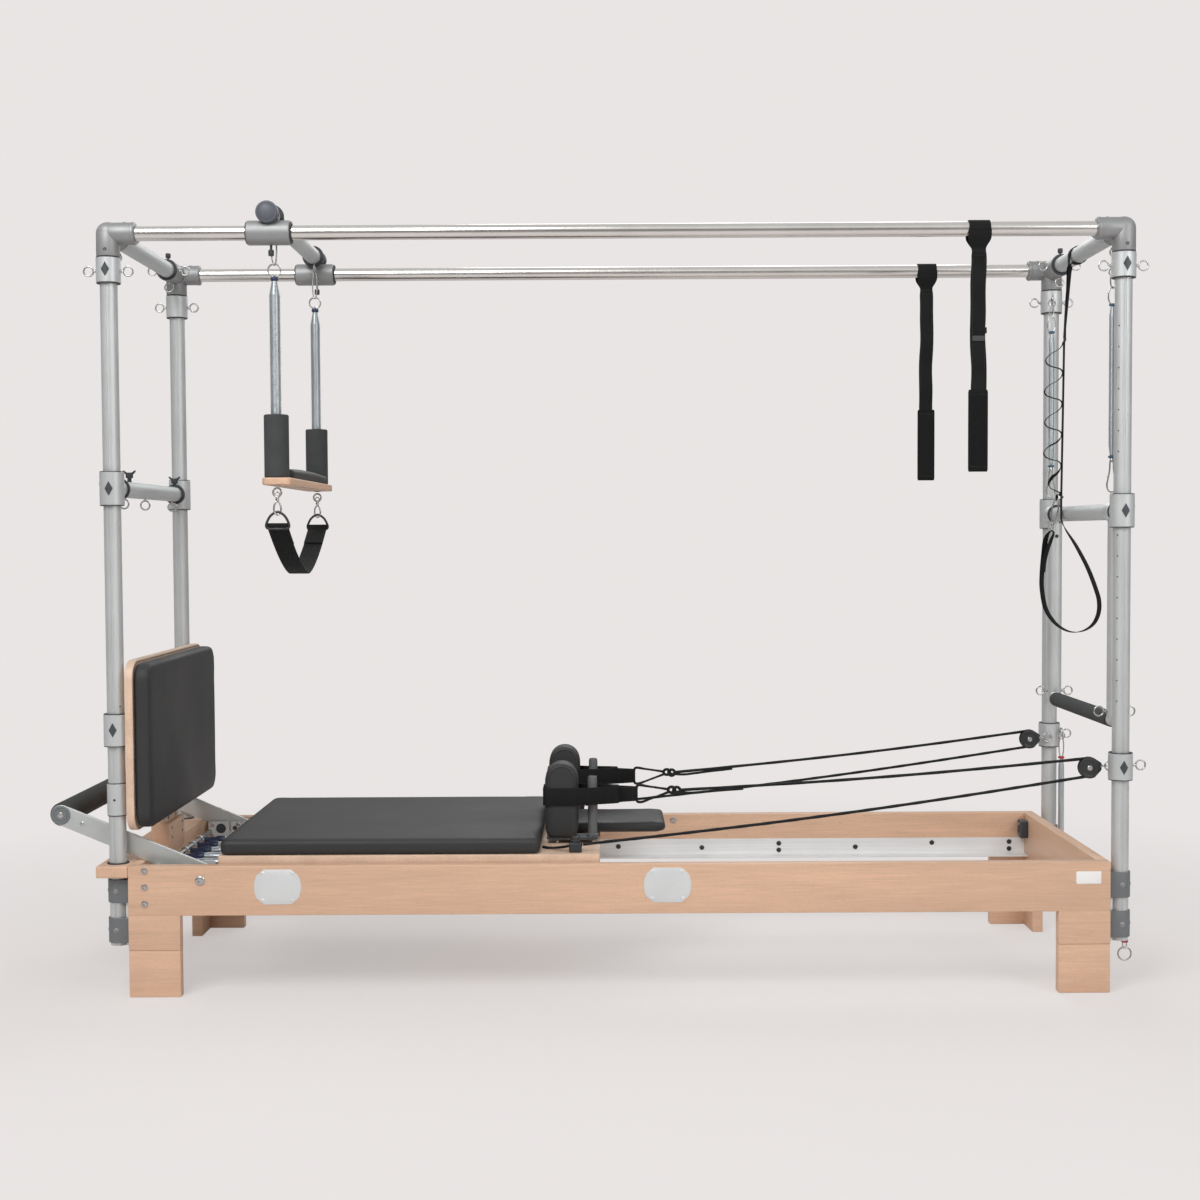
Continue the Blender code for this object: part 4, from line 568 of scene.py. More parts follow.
# Camera, floor and light
camera = bpy.data.objects.new("camera", bpy.data.cameras.new("camera"))
bpy.context.scene.collection.objects.link(camera)
bpy.context.scene.camera = camera
camera.data.lens, camera.data.sensor_width = 50.0, 36.0
camera.data.clip_start, camera.data.clip_end = 0.05, 100.0
YAW, PITCH, ROLL = -0.00162, 0.03908, -0.00536
AHEAD = Vector((sin(YAW) * cos(PITCH), cos(YAW) * cos(PITCH), -sin(PITCH)))
LEVEL = Vector((cos(YAW), -sin(YAW), 0))
UPRIGHT = LEVEL.cross(AHEAD)
RIGHT = cos(ROLL) * LEVEL + sin(ROLL) * UPRIGHT
UP = -sin(ROLL) * LEVEL + cos(ROLL) * UPRIGHT
turn = Matrix((RIGHT, UP, -AHEAD)).transposed().to_4x4()
camera.matrix_world = Matrix.Translation((-0.03569 + SHIFT, -4.34026, 1.10734)) @ turn

BACKDROP = (0.815, 0.784, 0.776)


def floor():
    """A pale floor that runs into the backdrop and keeps a soft shadow near the object."""
    made = bpy.data.materials.new("floor")
    made.use_nodes = True
    tree = made.node_tree
    tree.nodes.clear()
    glow = node(tree, "ShaderNodeEmission", {"Color": (*BACKDROP, 1.0), "Strength": 1.0})
    matte = node(tree, "ShaderNodeBsdfDiffuse", {"Color": (*shade(BACKDROP, 0.985), 1.0)})
    place = node(tree, "ShaderNodeTexCoord").outputs["Object"]
    reach = node(tree, "ShaderNodeVectorMath", {0: place}, operation="LENGTH").outputs["Value"]
    fade = span(tree, reach, 0.46, 0.0, 1.5, 2.9)
    seen = node(tree, "ShaderNodeMixShader", {0: fade, 1: glow.outputs[0], 2: matte.outputs[0]})
    rays = node(tree, "ShaderNodeLightPath")
    direct = node(tree, "ShaderNodeMixShader", {0: rays.outputs["Is Camera Ray"], 1: matte.outputs[0],
                                                2: seen.outputs[0]})
    out = node(tree, "ShaderNodeOutputMaterial")
    tree.links.new(direct.outputs[0], out.inputs["Surface"])
    mesh = bpy.data.meshes.new("floor")
    mesh.from_pydata([(-60, -60, -0.0005), (60, -60, -0.0005), (60, 60, -0.0005), (-60, 60, -0.0005)], [],
                     [(0, 1, 2, 3)])
    mesh.materials.append(made)
    item = bpy.data.objects.new("floor", mesh)
    bpy.context.scene.collection.objects.link(item)


def sky():
    """Plain backdrop for the camera, softboxes of light and shade for what the metal mirrors."""
    world = bpy.data.worlds.new("studio")
    bpy.context.scene.world = world
    world.use_nodes = True
    tree = world.node_tree
    tree.nodes.clear()
    rays = node(tree, "ShaderNodeLightPath")
    way = node(tree, "ShaderNodeTexCoord").outputs["Generated"]
    height = node(tree, "ShaderNodeSeparateXYZ", {"Vector": way}).outputs["Z"]
    room = ramp(tree, span(tree, height, 0.0, 1.0, -1.0, 1.0), (0.0, (0.34, 0.33, 0.32)),
                (0.44, (0.46, 0.44, 0.43)), (0.49, (0.22, 0.2, 0.185)), (0.58, (0.22, 0.205, 0.19)),
                (0.66, (0.5, 0.49, 0.48)), (0.78, (0.88, 0.875, 0.87)), (0.9, (0.66, 0.66, 0.66)))
    plain = node(tree, "ShaderNodeBackground", {"Color": (*BACKDROP, 1.0), "Strength": 1.0})
    mirrored = node(tree, "ShaderNodeBackground", {"Color": room, "Strength": 1.0})
    light = node(tree, "ShaderNodeBackground", {"Color": (1.0, 0.99, 0.98, 1.0), "Strength": 0.4})
    glossy = node(tree, "ShaderNodeMixShader", {0: rays.outputs["Is Glossy Ray"], 1: light.outputs[0],
                                                2: mirrored.outputs[0]})
    shown = node(tree, "ShaderNodeMath", {0: rays.outputs["Is Camera Ray"], 1: rays.outputs["Is Transmission Ray"]},
                 operation="MAXIMUM")
    final = node(tree, "ShaderNodeMixShader", {0: shown.outputs[0], 1: glossy.outputs[0], 2: plain.outputs[0]})
    out = node(tree, "ShaderNodeOutputWorld")
    tree.links.new(final.outputs[0], out.inputs["Surface"])


def lamp(name, place, aim, energy, size):
    data = bpy.data.lights.new(name, "AREA")
    data.energy, data.size, data.shape = energy, size, "SQUARE"
    item = bpy.data.objects.new(name, data)
    item.location = place
    item.rotation_euler = (Vector(aim) - Vector(place)).to_track_quat("-Z", "Y").to_euler()
    bpy.context.scene.collection.objects.link(item)


floor()
sky()
lamp("key", (-1.8, -3.6, 4.4), (0.0, 0.0, 0.6), 150.0, 2.6)
lamp("fill", (3.2, -3.4, 2.6), (0.3, 0.0, 0.7), 52.0, 2.2)
lamp("back", (0.6, 3.4, 3.6), (0.0, 0.0, 0.9), 50.0, 2.4)
bpy.context.scene.view_settings.view_transform = "Standard"


# Sizes from the frame's source
RAIL_TOP, RAIL_LOW, BOARD = 0.3175, 0.1975, 0.0285
FACE, SIDE, INNER = 1.18, 0.369, 0.3405
BACK = INNER - 0.0003
LEG = 0.124
POST_X, POST_Y, POST_R = 1.2155, 0.322, 0.0205
COLLAR_R = 0.029
TOP_Z, RAIL_R, CROSS_R = 1.8333, 0.0175, 0.021
PIVOT_Z, FOOT_BAR_Z, PUSH_Z = 1.157, 1.225, 0.647
PULLEY = (1.15, 0.286, 0.533)
DECK_START, DECK_END, DECK_TOP, DECK_HALF = -0.971, -0.0456, 0.335, 0.335
AXLES, AXLE_Z, BED_SPRING_Z = {FOOT: -0.866, HEAD: -0.1506}, 0.2303, 0.285
REST_X, REST_Y, PEG_X = -0.141, 0.165, -0.064
TRAPEZE_X, SWING_X, SWING_Y = -0.829, -0.825, 0.285
STRAP_X = 0.868
SAFETY_X, SLING_Y = POST_X - CROSS_R - 0.0025, 0.126
LOOP_X, LOOP_Z = 0.046, 0.4545
ARM_SPRING, LEG_SPRING = (1.204, 0.275, 1.7473), (1.24, 0.286, 0.552)


# Small fittings
def screw_head(shape, centre, out, radius=0.006, proud=0.003, under=0.0):
    """A domed screw head with a round socket, proud of a face along out, on a washer where under is its radius."""
    base = array(centre)
    if under:
        lathe(shape, [(0, 0), (under, 0), (under, 0.0007), (under - 0.0005, 0.0012), (0, 0.0012)], base, out, 28)
        base = base + unit(out) * 0.001
    well = radius * 0.42
    profile = [(0, -0.001), (radius, -0.001), (radius, proud * 0.35), (radius * 0.86, proud * 0.8),
               (radius * 0.6, proud), (well, proud), (well, proud * 0.25), (0, proud * 0.25)]
    return lathe(shape, profile, base, out, 24)


def eye(shape, centre, out, plane, radius=0.0115, wire=0.0021, shank=0.03):
    """An eyebolt: its ring's centre, the way it stands out, and the axis its ring turns about."""
    centre, out = array(centre), unit(out)
    ring(shape, centre, plane, radius, wire)
    foot = centre - out * (radius + wire)
    rod(shape, centre - out * (radius - 0.0006), foot - out * shank, 0.0026, sides=14)
    lathe(shape, [(0, 0), (0.0046, 0), (0.0052, 0.0006), (0.0052, 0.003), (0.0046, 0.0036), (0, 0.0036)],
          foot - out * 0.006, out, 6)
    return shape


def thumb_screw(shape, foot, out, long=0.025, radius=0.0066):
    """A stud with a ribbed round knob."""
    foot, out = array(foot), unit(out)
    rod(shape, foot, foot + out * (long * 0.55), 0.003, sides=12)
    u = unit(np.cross(out, (0.3, 0.5, 0.2)))
    line = [foot + out * long * t for t in (0.45, 0.52, 0.9, 1.0)]
    sweep(shape, line, circle(radius, 40, 10, 0.055), across=u, scales=[0.88, 1, 1, 0.86])
    return shape


def diamond(shape, centre, side, tall=0.017, wide=0.0095):
    """A plain rhombus inlay curved on to a collar's outer face."""
    x, y, z = centre
    n, radius = 8, COLLAR_R
    face = radius + 0.0009
    points, faces = [], []
    for i in range(n + 1):
        up = -1 + 2 * i / n
        half = wide * (1 - abs(up)) + 0.0002
        for k in range(5):
            reach = half * (k - 2) / 2
            turn = reach / radius
            points.append((x + face * sin(turn), y + side * face * cos(turn), z + tall * up))
    m = len(points)
    points += [(x + (px - x) * 0.94, y + (py - y) * 0.94, pz) for px, py, pz in points]
    for i in range(n):
        for k in range(4):
            a, b, c, d = i * 5 + k, i * 5 + k + 1, (i + 1) * 5 + k + 1, (i + 1) * 5 + k
            faces += [(a, b, c, d), (m + d, m + c, m + b, m + a)]
        for k in (0, 4):
            a, d = i * 5 + k, (i + 1) * 5 + k
            faces.append((a, d, m + d, m + a))
    for i in (0, n):
        for k in range(4):
            a, b = i * 5 + k, i * 5 + k + 1
            faces.append((a, m + a, m + b, b))
    return shape.add(points, faces)


def grooved(shape, low, high, centre, radius, bore, slots=(0, 90, 180, 270)):
    """An extruded upright with a narrow groove down each slot's angle and a pair of fine lines beside it."""
    angles, reach = [], []
    for slot in slots:
        for offset, depth in ((-14.0, 0), (-11.6, 0), (-11.2, 0.0005), (-10.4, 0.0005), (-10.0, 0), (-4.2, 0),
                              (-3.6, 0.0016), (3.6, 0.0016), (4.2, 0), (10.0, 0), (10.4, 0.0005), (11.2, 0.0005),
                              (11.6, 0), (14.0, 0)):
            angles.append(slot + offset)
            reach.append(radius - depth)
        for step in range(1, 8):
            angles.append(slot + 14 + 62 * step / 8)
            reach.append(radius)
    section = np.array([(r * cos(radians(a)), r * sin(radians(a))) for a, r in zip(angles, reach)])
    inside = section / np.linalg.norm(section, axis=1)[:, None] * bore
    n = len(section)
    points, faces = [], []
    for ring_points, z in ((inside, low), (section, low), (section, high), (inside, high)):
        points += [(centre[0] + a, centre[1] + b, z) for a, b in ring_points]
    for row in range(4):
        after = (row + 1) % 4
        for k in range(n):
            l = (k + 1) % n
            faces.append((row * n + k, row * n + l, after * n + l, after * n + k))
    return shape.add(points, faces)


def collar(shape, rims, centre, low, high, radius=COLLAR_R, bore=POST_R + 0.0004, axis=Z):
    """A cast collar with a dark liner showing as a thin rim at each end."""
    base, w = array(centre), unit(axis)
    tube(shape, base + w * (low + 0.0016), base + w * (high - 0.0016), radius, bore, 0.0014, 48)
    for start in (low, high - 0.0018):
        tube(rims, base + w * start, base + w * (start + 0.0018), radius - 0.0006, bore, 0.0004, 48)


# Wooden bed
def perforated(shape, outline, holes, y0, y1, sides=28):
    """An upright plate between two Y faces, with round holes given as (x, z, radius)."""
    mesh = bmesh.new()
    loops = [outline] + [[(hx + r * cos(a), hz + r * sin(a)) for a in turns(sides)] for hx, hz, r in holes]
    edges = []
    for loop in loops:
        ring_points = [mesh.verts.new((a, y0, b)) for a, b in loop]
        edges += [mesh.edges.new((p, q)) for p, q in zip(ring_points, ring_points[1:] + ring_points[:1])]
    bmesh.ops.triangle_fill(mesh, use_beauty=True, use_dissolve=False, edges=edges)
    for face in list(mesh.faces):
        cx, cz = face.calc_center_median().x, face.calc_center_median().z
        if any(hypot(cx - hx, cz - hz) < r * 0.97 for hx, hz, r in holes):
            mesh.faces.remove(face)
    raised = bmesh.ops.extrude_face_region(mesh, geom=mesh.faces[:])
    bmesh.ops.translate(mesh, vec=(0, y1 - y0, 0),
                        verts=[g for g in raised["geom"] if isinstance(g, bmesh.types.BMVert)])
    return shape.take(mesh)


def side_frame(side):
    """The long rail, its two legs of stacked blocks, and what is screwed to its faces."""
    name = SIDES[side]
    y0, y1 = side * INNER, side * SIDE
    rail = Shape()
    prism(rail, [(-FACE, RAIL_LOW), (FACE, RAIL_LOW), (FACE, RAIL_TOP), (-FACE, RAIL_TOP)], y0, y1, "y", 0.002, 3)
    legs = Shape()
    for end, seam in ((FOOT, 0.1135), (HEAD, 0.1185)):
        x0, x1 = end * FACE, end * (FACE - LEG)
        for low, high in ((0.0, seam - 0.0003), (seam + 0.0003, RAIL_LOW + 0.0006)):
            block(legs, (x0, x1), (y0, y1), (low, high), 0.0022 if low == 0 else 0.0009)
            block(legs, (x0, end * (FACE - BOARD)), (side * (SIDE - LEG), side * (SIDE - BOARD - 0.0002)),
                  (low, min(high, RAIL_LOW - 0.0003)), 0.0012)
    pieces(f"{name}_", "base", ("rail", rail, "wood_x", "side_frame"), ("legs", legs, "wood_x"))
    bolts, plates, caps = shapes(3)
    out = (0, side, 0)
    for z in (0.3085, 0.2688, 0.229):
        screw_head(bolts, (-1.14, y1, z - 0.002), out, 0.0082, 0.0034)
    screw_head(bolts, (-1.006, y1, 0.283), out, 0.0118, 0.0042)
    screw_head(bolts, (0.16, y0, 0.3005), (0, -side, 0), 0.009, 0.0036)
    keeper, studs, hole_shade_discs = shapes(3)
    inner, outer = side * 0.279, side * 0.2822
    main = [(-1.1385, 0.262), (-1.148, 0.25), (-1.148, 0.22), (-1.145, 0.2165), (-1.112, 0.2165), (-1.1085, 0.22),
            (-1.107, 0.259), (-1.102, 0.2655), (-1.088, 0.274), (-1.0805, 0.279), (-1.0805, 0.3105),
            (-1.0835, 0.314), (-1.135, 0.314), (-1.1385, 0.3105)]
    perforated(keeper, main, [(-1.104, 0.2945, 0.0138)], inner, outer)
    second = [(-1.0765, 0.2835), (-1.07, 0.278), (-0.993, 0.278), (-0.99, 0.281), (-0.99, 0.311), (-0.993, 0.314),
              (-1.0735, 0.314), (-1.0765, 0.311)]
    perforated(keeper, second, [(-1.0655, 0.2955, 0.0062), (-1.038, 0.2955, 0.01)], inner, outer)
    # Dark discs just behind each hole: painted shade, so the holes show as dark shaded openings
    for x, z, r in ((-1.104, 0.2945, 0.0152), (-1.0655, 0.2955, 0.007), (-1.038, 0.2955, 0.011)):
        rod(hole_shade_discs, (x, outer - side * 0.0004, z), (x, outer + side * 0.003, z), r, 0.0004, 28)
    for x, z in ((-1.127, 0.304), (-1.127, 0.273), (-1.056, 0.305)):
        screw_head(studs, (x, inner, z), (0, -side, 0), 0.006, 0.003)
        rod(studs, (x, outer, z), (x, side * (INNER + 0.001), z), 0.0045, sides=20)
    pieces(f"{name}_", "base", ("footbar_keeper", keeper, "galvanised"), ("keeper_hole_shades", hole_shade_discs, "rubber"),
           ("keeper_studs", studs, "chrome"))
    for end in (HEAD, FOOT):
        for z in (0.225, 0.29):
            screw_head(bolts, (end * FACE, side * 0.3545, z), (end, 0, 0), 0.0065, 0.002)
    for x0, x1 in ((-0.8766, -0.7639), (0.0598, 0.173)):
        cx, cz, half, tall = (x0 + x1) / 2, 0.2665, (x1 - x0) / 2, 0.042
        outline = []
        for sx in (1, -1):
            outline += [(cx + sx * (half - 0.0125 + 0.0125 * cos(radians(a))),
                         cz + sx * (tall - 0.01) * sin(radians(a))) for a in range(-60, 61, 12)]
            outline += [(cx + out_x * (half - 0.023), cz + sx * tall) for out_x in (sx, -sx)]
        prism(plates, outline, y1 - side * 0.001, y1 + side * 0.0014, "y", 0.0006)
        for sx in (-1, 1):
            for sz in (-1, 1):
                screw_head(caps, (cx + sx * 0.036, y1 + side * 0.0014, cz + sz * 0.0325), out, 0.0046, 0.0013)
    pieces(f"{name}_", "base", ("rail_bolts", bolts, "chrome"), ("barrel_plates", plates, "plate"),
           ("plate_screws", caps, "plate"))
    if side == NEAR:
        label = Shape()
        outline = rounded_outline((1.097, 0.2644), (1.157, 0.2945), 0.0035, 5)
        prism(label, outline, y1 + 0.001, y1 - 0.001, "y", 0.0005)
        piece("blank_label", label, "label", "base", slot="satin_aluminium")


def end_boards():
    board = Shape()
    half = BACK
    block(board, (FACE - BOARD, FACE), (-half, half), (RAIL_LOW, RAIL_TOP), 0.0015)
    piece("head_board", board, "wood_y", "base", "head_end_board")
    stops, screws = shapes(2)
    for side in BOTH:
        x1 = FACE - BOARD
        block(stops, (x1 - 0.021, x1 + 0.003), (side * (half - 0.045), side * (half - 0.004)), (0.252, 0.3), 0.005, 4)
        for z in (0.262, 0.29):
            screw_head(screws, (x1 - 0.021, side * (half - 0.0245), z), (-1, 0, 0), 0.0045, 0.0012)
    piece("carriage_stops", stops, "rubber", "base")
    foot = Shape()
    low = RAIL_TOP - BOARD
    block(foot, (-FACE, -FACE + 0.023), (-half, half), (RAIL_LOW, RAIL_TOP), 0.0015)
    piece("foot_board", foot, "wood_y", "base", "foot_end_board")
    shelf = Shape()
    slab(shelf, (-FACE - 0.077, -SIDE), (-FACE - 0.0003, SIDE), 0.004, 3, low, RAIL_TOP, 0.003, 3)
    piece("post_shelf", shelf, "wood_y", "base")
    rims = Shape()
    for side in BOTH:
        for z in (RAIL_TOP - 0.001, low - 0.0028):
            washer(rims, [(POST_R + 0.0004, 0), (POST_R + 0.006, 0), (POST_R + 0.0056, 0.003),
                          (POST_R + 0.004, 0.004), (POST_R + 0.0004, 0.004)], (-POST_X, side * POST_Y, z), Z)
    piece("post_hole_rims", rims, "rubber", "base")
    socket = Shape()
    slot0, slot1, wide, bottom, top = -1.1867, -1.1667, 0.075, low + 0.002, RAIL_TOP + 0.0525
    for x in ((-1.2022, slot0), (slot1, -1.154)):
        block(socket, x, (-wide, wide), (bottom, top), 0.0022)
    for side in BOTH:
        block(socket, (slot0 - 0.002, slot1 + 0.002), (side * 0.0605, side * wide), (bottom, top - 0.0004), 0.001)
    piece("jumpboard_socket", socket, "wood_y", "base")
    for side in BOTH:
        for down in (0.014, 0.038):
            screw_head(screws, (-1.154, side * 0.052, top - down), X, 0.0048, 0.0014)
    piece("board_screws", screws, "chrome", "base")


def tracks():
    for side in BOTH:
        name, back = SIDES[side], BACK
        start, end = -FACE + 0.0233, FACE - BOARD - 0.0003
        web, bolts = shapes(2)
        outline = [(side * back, 0.2), (side * back, 0.2478), (side * (back - 0.0008), 0.248),
                   (side * (back - 0.0032), 0.248), (side * (back - 0.004), 0.2472),
                   (side * (back - 0.004), 0.2058), (side * (back - 0.0046), 0.2046),
                   (side * (back - 0.0058), 0.204), (side * (back - 0.0392), 0.204), (side * (back - 0.04), 0.2032),
                   (side * (back - 0.04), 0.2006), (side * (back - 0.0394), 0.2)]
        prism(web, outline, start, end, "x", 0)
        piece(f"{name}_rail_track", web, "aluminium_x", "base", f"{name}_track")
        for x, z in ((-0.69, 0.228), (-0.462, 0.228), (-0.228, 0.228), (0.0049, 0.2275), (0.2406, 0.2235),
                     (0.4578, 0.2345), (0.4578, 0.2155), (0.6738, 0.2235), (0.8897, 0.2345), (1.1076, 0.236),
                     (1.1076, 0.2165)):
            screw_head(bolts, (x, side * (back - 0.004), z), (0, -side, 0), 0.0068, 0.0024)
        piece(f"{name}_track_bolts", bolts, "plastic", "base")


def anchor_bar():
    bar, bits = shapes(2)
    back = BACK
    rod(bar, (-1.135, -back + 0.002, BED_SPRING_Z), (-1.135, back - 0.002, BED_SPRING_Z), 0.008)
    piece("spring_bar", bar, "chrome", "base", "spring_anchor_bar")
    plates = Shape()
    for side in BOTH:
        outline = rounded_outline((-1.153, 0.251), (-1.069, 0.314), 0.006, 5)
        prism(plates, outline, side * (back - 0.004), side * back, "y", 0.0006)
        for x in (-1.111, -1.085):
            hole = (x, side * (back - 0.004), 0.292)
            rim = [(0.0045, 0), (0.0084, 0), (0.0084, 0.0012), (0.007, 0.0018), (0.0045, 0.0004)]
            washer(bits, rim, hole, (0, -side, 0), 28)
            # A flat dark disc filling each hole inside its rim: painted shade standing in for the hole's dark inside
            lathe(bits, [(0, 0), (0.0046, 0), (0.0046, 0.0006), (0, 0.0006)], hole, (0, -side, 0), 28)
        for x in (-1.146, -1.099, -1.075):
            for z in (0.257, 0.308):
                screw_head(bar, (x, side * (back - 0.004), z), (0, -side, 0), 0.0036, 0.0013)
    piece("drilled_plates", plates, "plate", "base")
    piece("drilled_plate_rims_and_hole_shades", bits, "plastic", "base")


for side in BOTH:
    side_frame(side)
end_boards()
tracks()
anchor_bar()


# Tower
def post(end, side):
    name = f"{ENDS[end]}_{SIDES[side]}"
    x, y = end * POST_X, side * POST_Y
    upright = Shape()
    grooved(upright, 0.1186, TOP_Z - CROSS_R - 0.003, (x, y), POST_R, POST_R - 0.0025)
    piece(f"{name}_upright", upright, "aluminium_z", "base", f"{name}_post")
    index_hole_shades = Shape()
    # Small flat dark dots on the upright for its index holes: painted shade for the holes' dark insides
    for step in range(19):
        z = 0.7 + 0.05 * step
        if not 1.1 < z < 1.28 and (end == HEAD or z < 0.74):
            out = unit((-0.72 * end, 0.7 * side, 0))
            lathe(index_hole_shades, [(0, 0), (0.002, 0), (0.0014, 0.0003), (0, 0.0003)],
                  np.array((x, y, z)) + out * (POST_R - 0.0001), out, 14)
    piece(f"{name}_upright_index_hole_shades", index_hole_shades, "rubber", "base")
    if end == FOOT:
        cast, rims, bits = shapes(3)
        collar(cast, rims, (x, y, 0), 0.6025, 0.682)
        collar(cast, rims, (x, y, 0), 0.434, 0.514, POST_R + 0.003)
        diamond(bits, (x, y, 0.644), side)
        pieces(f"{name}_", "base", ("lower_collars", cast, "collar"), ("lower_collar_rims", rims, "rubber"),
               ("lower_diamond", bits, "inlay"))
        pins = Shape()
        screw_head(pins, (x, y + side * (POST_R + 0.0028), 0.474), (0, side, 0), 0.003, 0.0012)
        piece(f"{name}_sleeve_pin", pins, "plastic", "base")


def bracket(end, side):
    name = f"{ENDS[end]}_{SIDES[side]}"
    x, y = end * POST_X, side * POST_Y
    face = end * (FACE + 0.0003)
    clamps = ((0.126, 0.1875), (0.224, 0.2806)) if end == FOOT else ((0.1277, 0.1924), (0.2245, 0.287))
    bar, cast, screws = shapes(3)
    block(bar, (face, end * 1.1945), (y - 0.016, y + 0.016), (0.1186, clamps[1][1]), 0.0012)
    for low, high in clamps:
        wide, half = 0.0245, 0.024
        turn = degrees(asin(half / wide))
        outline = [(x + end * wide * cos(a), y + wide * sin(a) * end) for a in fan(-turn, turn, 25)]
        outline += [(x, y + end * half), (face, y + end * half), (face, y - end * half), (x, y - end * half)]
        prism(cast, outline, low, high, "z", 0.0016, 3)
        middle = (low + high) / 2
        screw_head(screws, (x, y + side * 0.0238, middle), (0, side, 0), 0.0052, 0.0016, 0.0066)
        screw_head(screws, (x + end * 0.0242, y, middle), (end, 0, 0), 0.0052, 0.0016)
    pieces(f"{name}_", "base", ("backing_bar", bar, "plate", "post_bracket"), ("clamps", cast, "dark_casting"),
           ("clamp_screws", screws, "casting"))


def corner(end, side):
    name = f"{ENDS[end]}_{SIDES[side]}"
    x, y, z = end * POST_X, side * POST_Y, TOP_Z
    rail_end, cross_end = end * (POST_X - 0.0665), side * (POST_Y - (0.075 if side == NEAR else 0.103))
    cast, rims, bright, dark, knob = shapes(5)
    rod(cast, (x, y, z - 0.0553), (x, y, z + 0.002), 0.0276, 0.0012, 48)
    knee = [(0.0274 * sin(pi * i / 20), -0.0274 * cos(pi * i / 20)) for i in range(21)]
    lathe(cast, knee, (x, y, z), Z, 48)
    for start, radius, lip, liner, before, inset, bore, soft in (
            ((rail_end, y, z), 0.0265, 0.0014, cast, 0.0004, 0.0036, RAIL_R + 0.0004, 0.0006),
            ((x, cross_end, z), 0.0285, 0.0018, rims, 0.006, 0.0002, CROSS_R + 0.0004, 0.0012)):
        rod(cast, start, (x, y, z), radius, 0.0016, 48)
        start = array(start)
        way = unit(array((x, y, z)) - start)
        tube(cast, start + way * 0.001, start + way * 0.0085, radius + lip * 0.6, radius - 0.002, 0.0012, 48)
        tube(liner, start - way * before, start + way * 0.0016, radius - inset, bore, soft, 48)
    pale = Shape()
    collar(pale, rims, (x, y, 0), z - 0.119, z - 0.0562)
    for out in (-1, 1):
        eye(bright, (x + out * 0.0475, y, z - 0.089), (out, 0, 0), Y, shank=0.006)
    for out in ((-end, 0, 0), (0, 0, -1)) if side == NEAR else ((-1, 0, 0), X, (0, 0, -1)):
        place = np.array((x, cross_end + side * (0.004 if side == NEAR else 0.022), z)) + np.array(out) * 0.0445
        eye(bright, place, out, Y, shank=0.005)
    if end == HEAD:
        spot_y = side * 0.275
        way = unit((1.206 - x, spot_y - y, 0))
        eye(bright, (1.206, spot_y, z - 0.086), way, (-way[1], way[0], 0), shank=0.006)
    for out in ((0, side, 0), (end, 0, 0)):
        base = np.array((x, y, z - 0.04)) + np.array(out) * 0.027
        screw_head(dark, base, out, 0.0042, 0.0014)
    screw_head(dark, (x - end * 0.04, y, z + 0.0262), Z, 0.0042, 0.0012)
    if side == NEAR:
        screw_head(knob, (x, cross_end + side * 0.016, z + 0.0282), Z, 0.0042, 0.0014)
    else:
        thumb_screw(knob, (x, cross_end + side * 0.016, z + 0.024), Z, 0.0225)
    diamond(dark, (x, y, z - 0.0872), side)
    pieces(f"{name}_", "base", ("elbow", cast, "casting", "corner"), ("elbow_collar", pale, "collar"),
           ("elbow_gaskets", rims, "rubber"), ("elbow_eyes", bright, "chrome"), ("elbow_diamond", dark, "inlay"),
           ("elbow_knob", knob, "rubber"))


def top_tubes():
    for side in BOTH:
        bar, half = Shape(), POST_X - 0.03
        tube(bar, (-half, side * POST_Y, TOP_Z), (half, side * POST_Y, TOP_Z), RAIL_R, RAIL_R - 0.0022, sides=64)
        piece(f"{SIDES[side]}_rail_tube", bar, "steel", "base", f"{SIDES[side]}_top_rail")
    for end in (FOOT, HEAD):
        bar, half = Shape(), POST_Y - 0.03
        tube(bar, (end * POST_X, -half, TOP_Z), (end * POST_X, half, TOP_Z), CROSS_R, CROSS_R - 0.0022, sides=64)
        piece(f"{ENDS[end]}_cross_tube", bar, "aluminium_y", "base", f"{ENDS[end]}_top_crossbar")


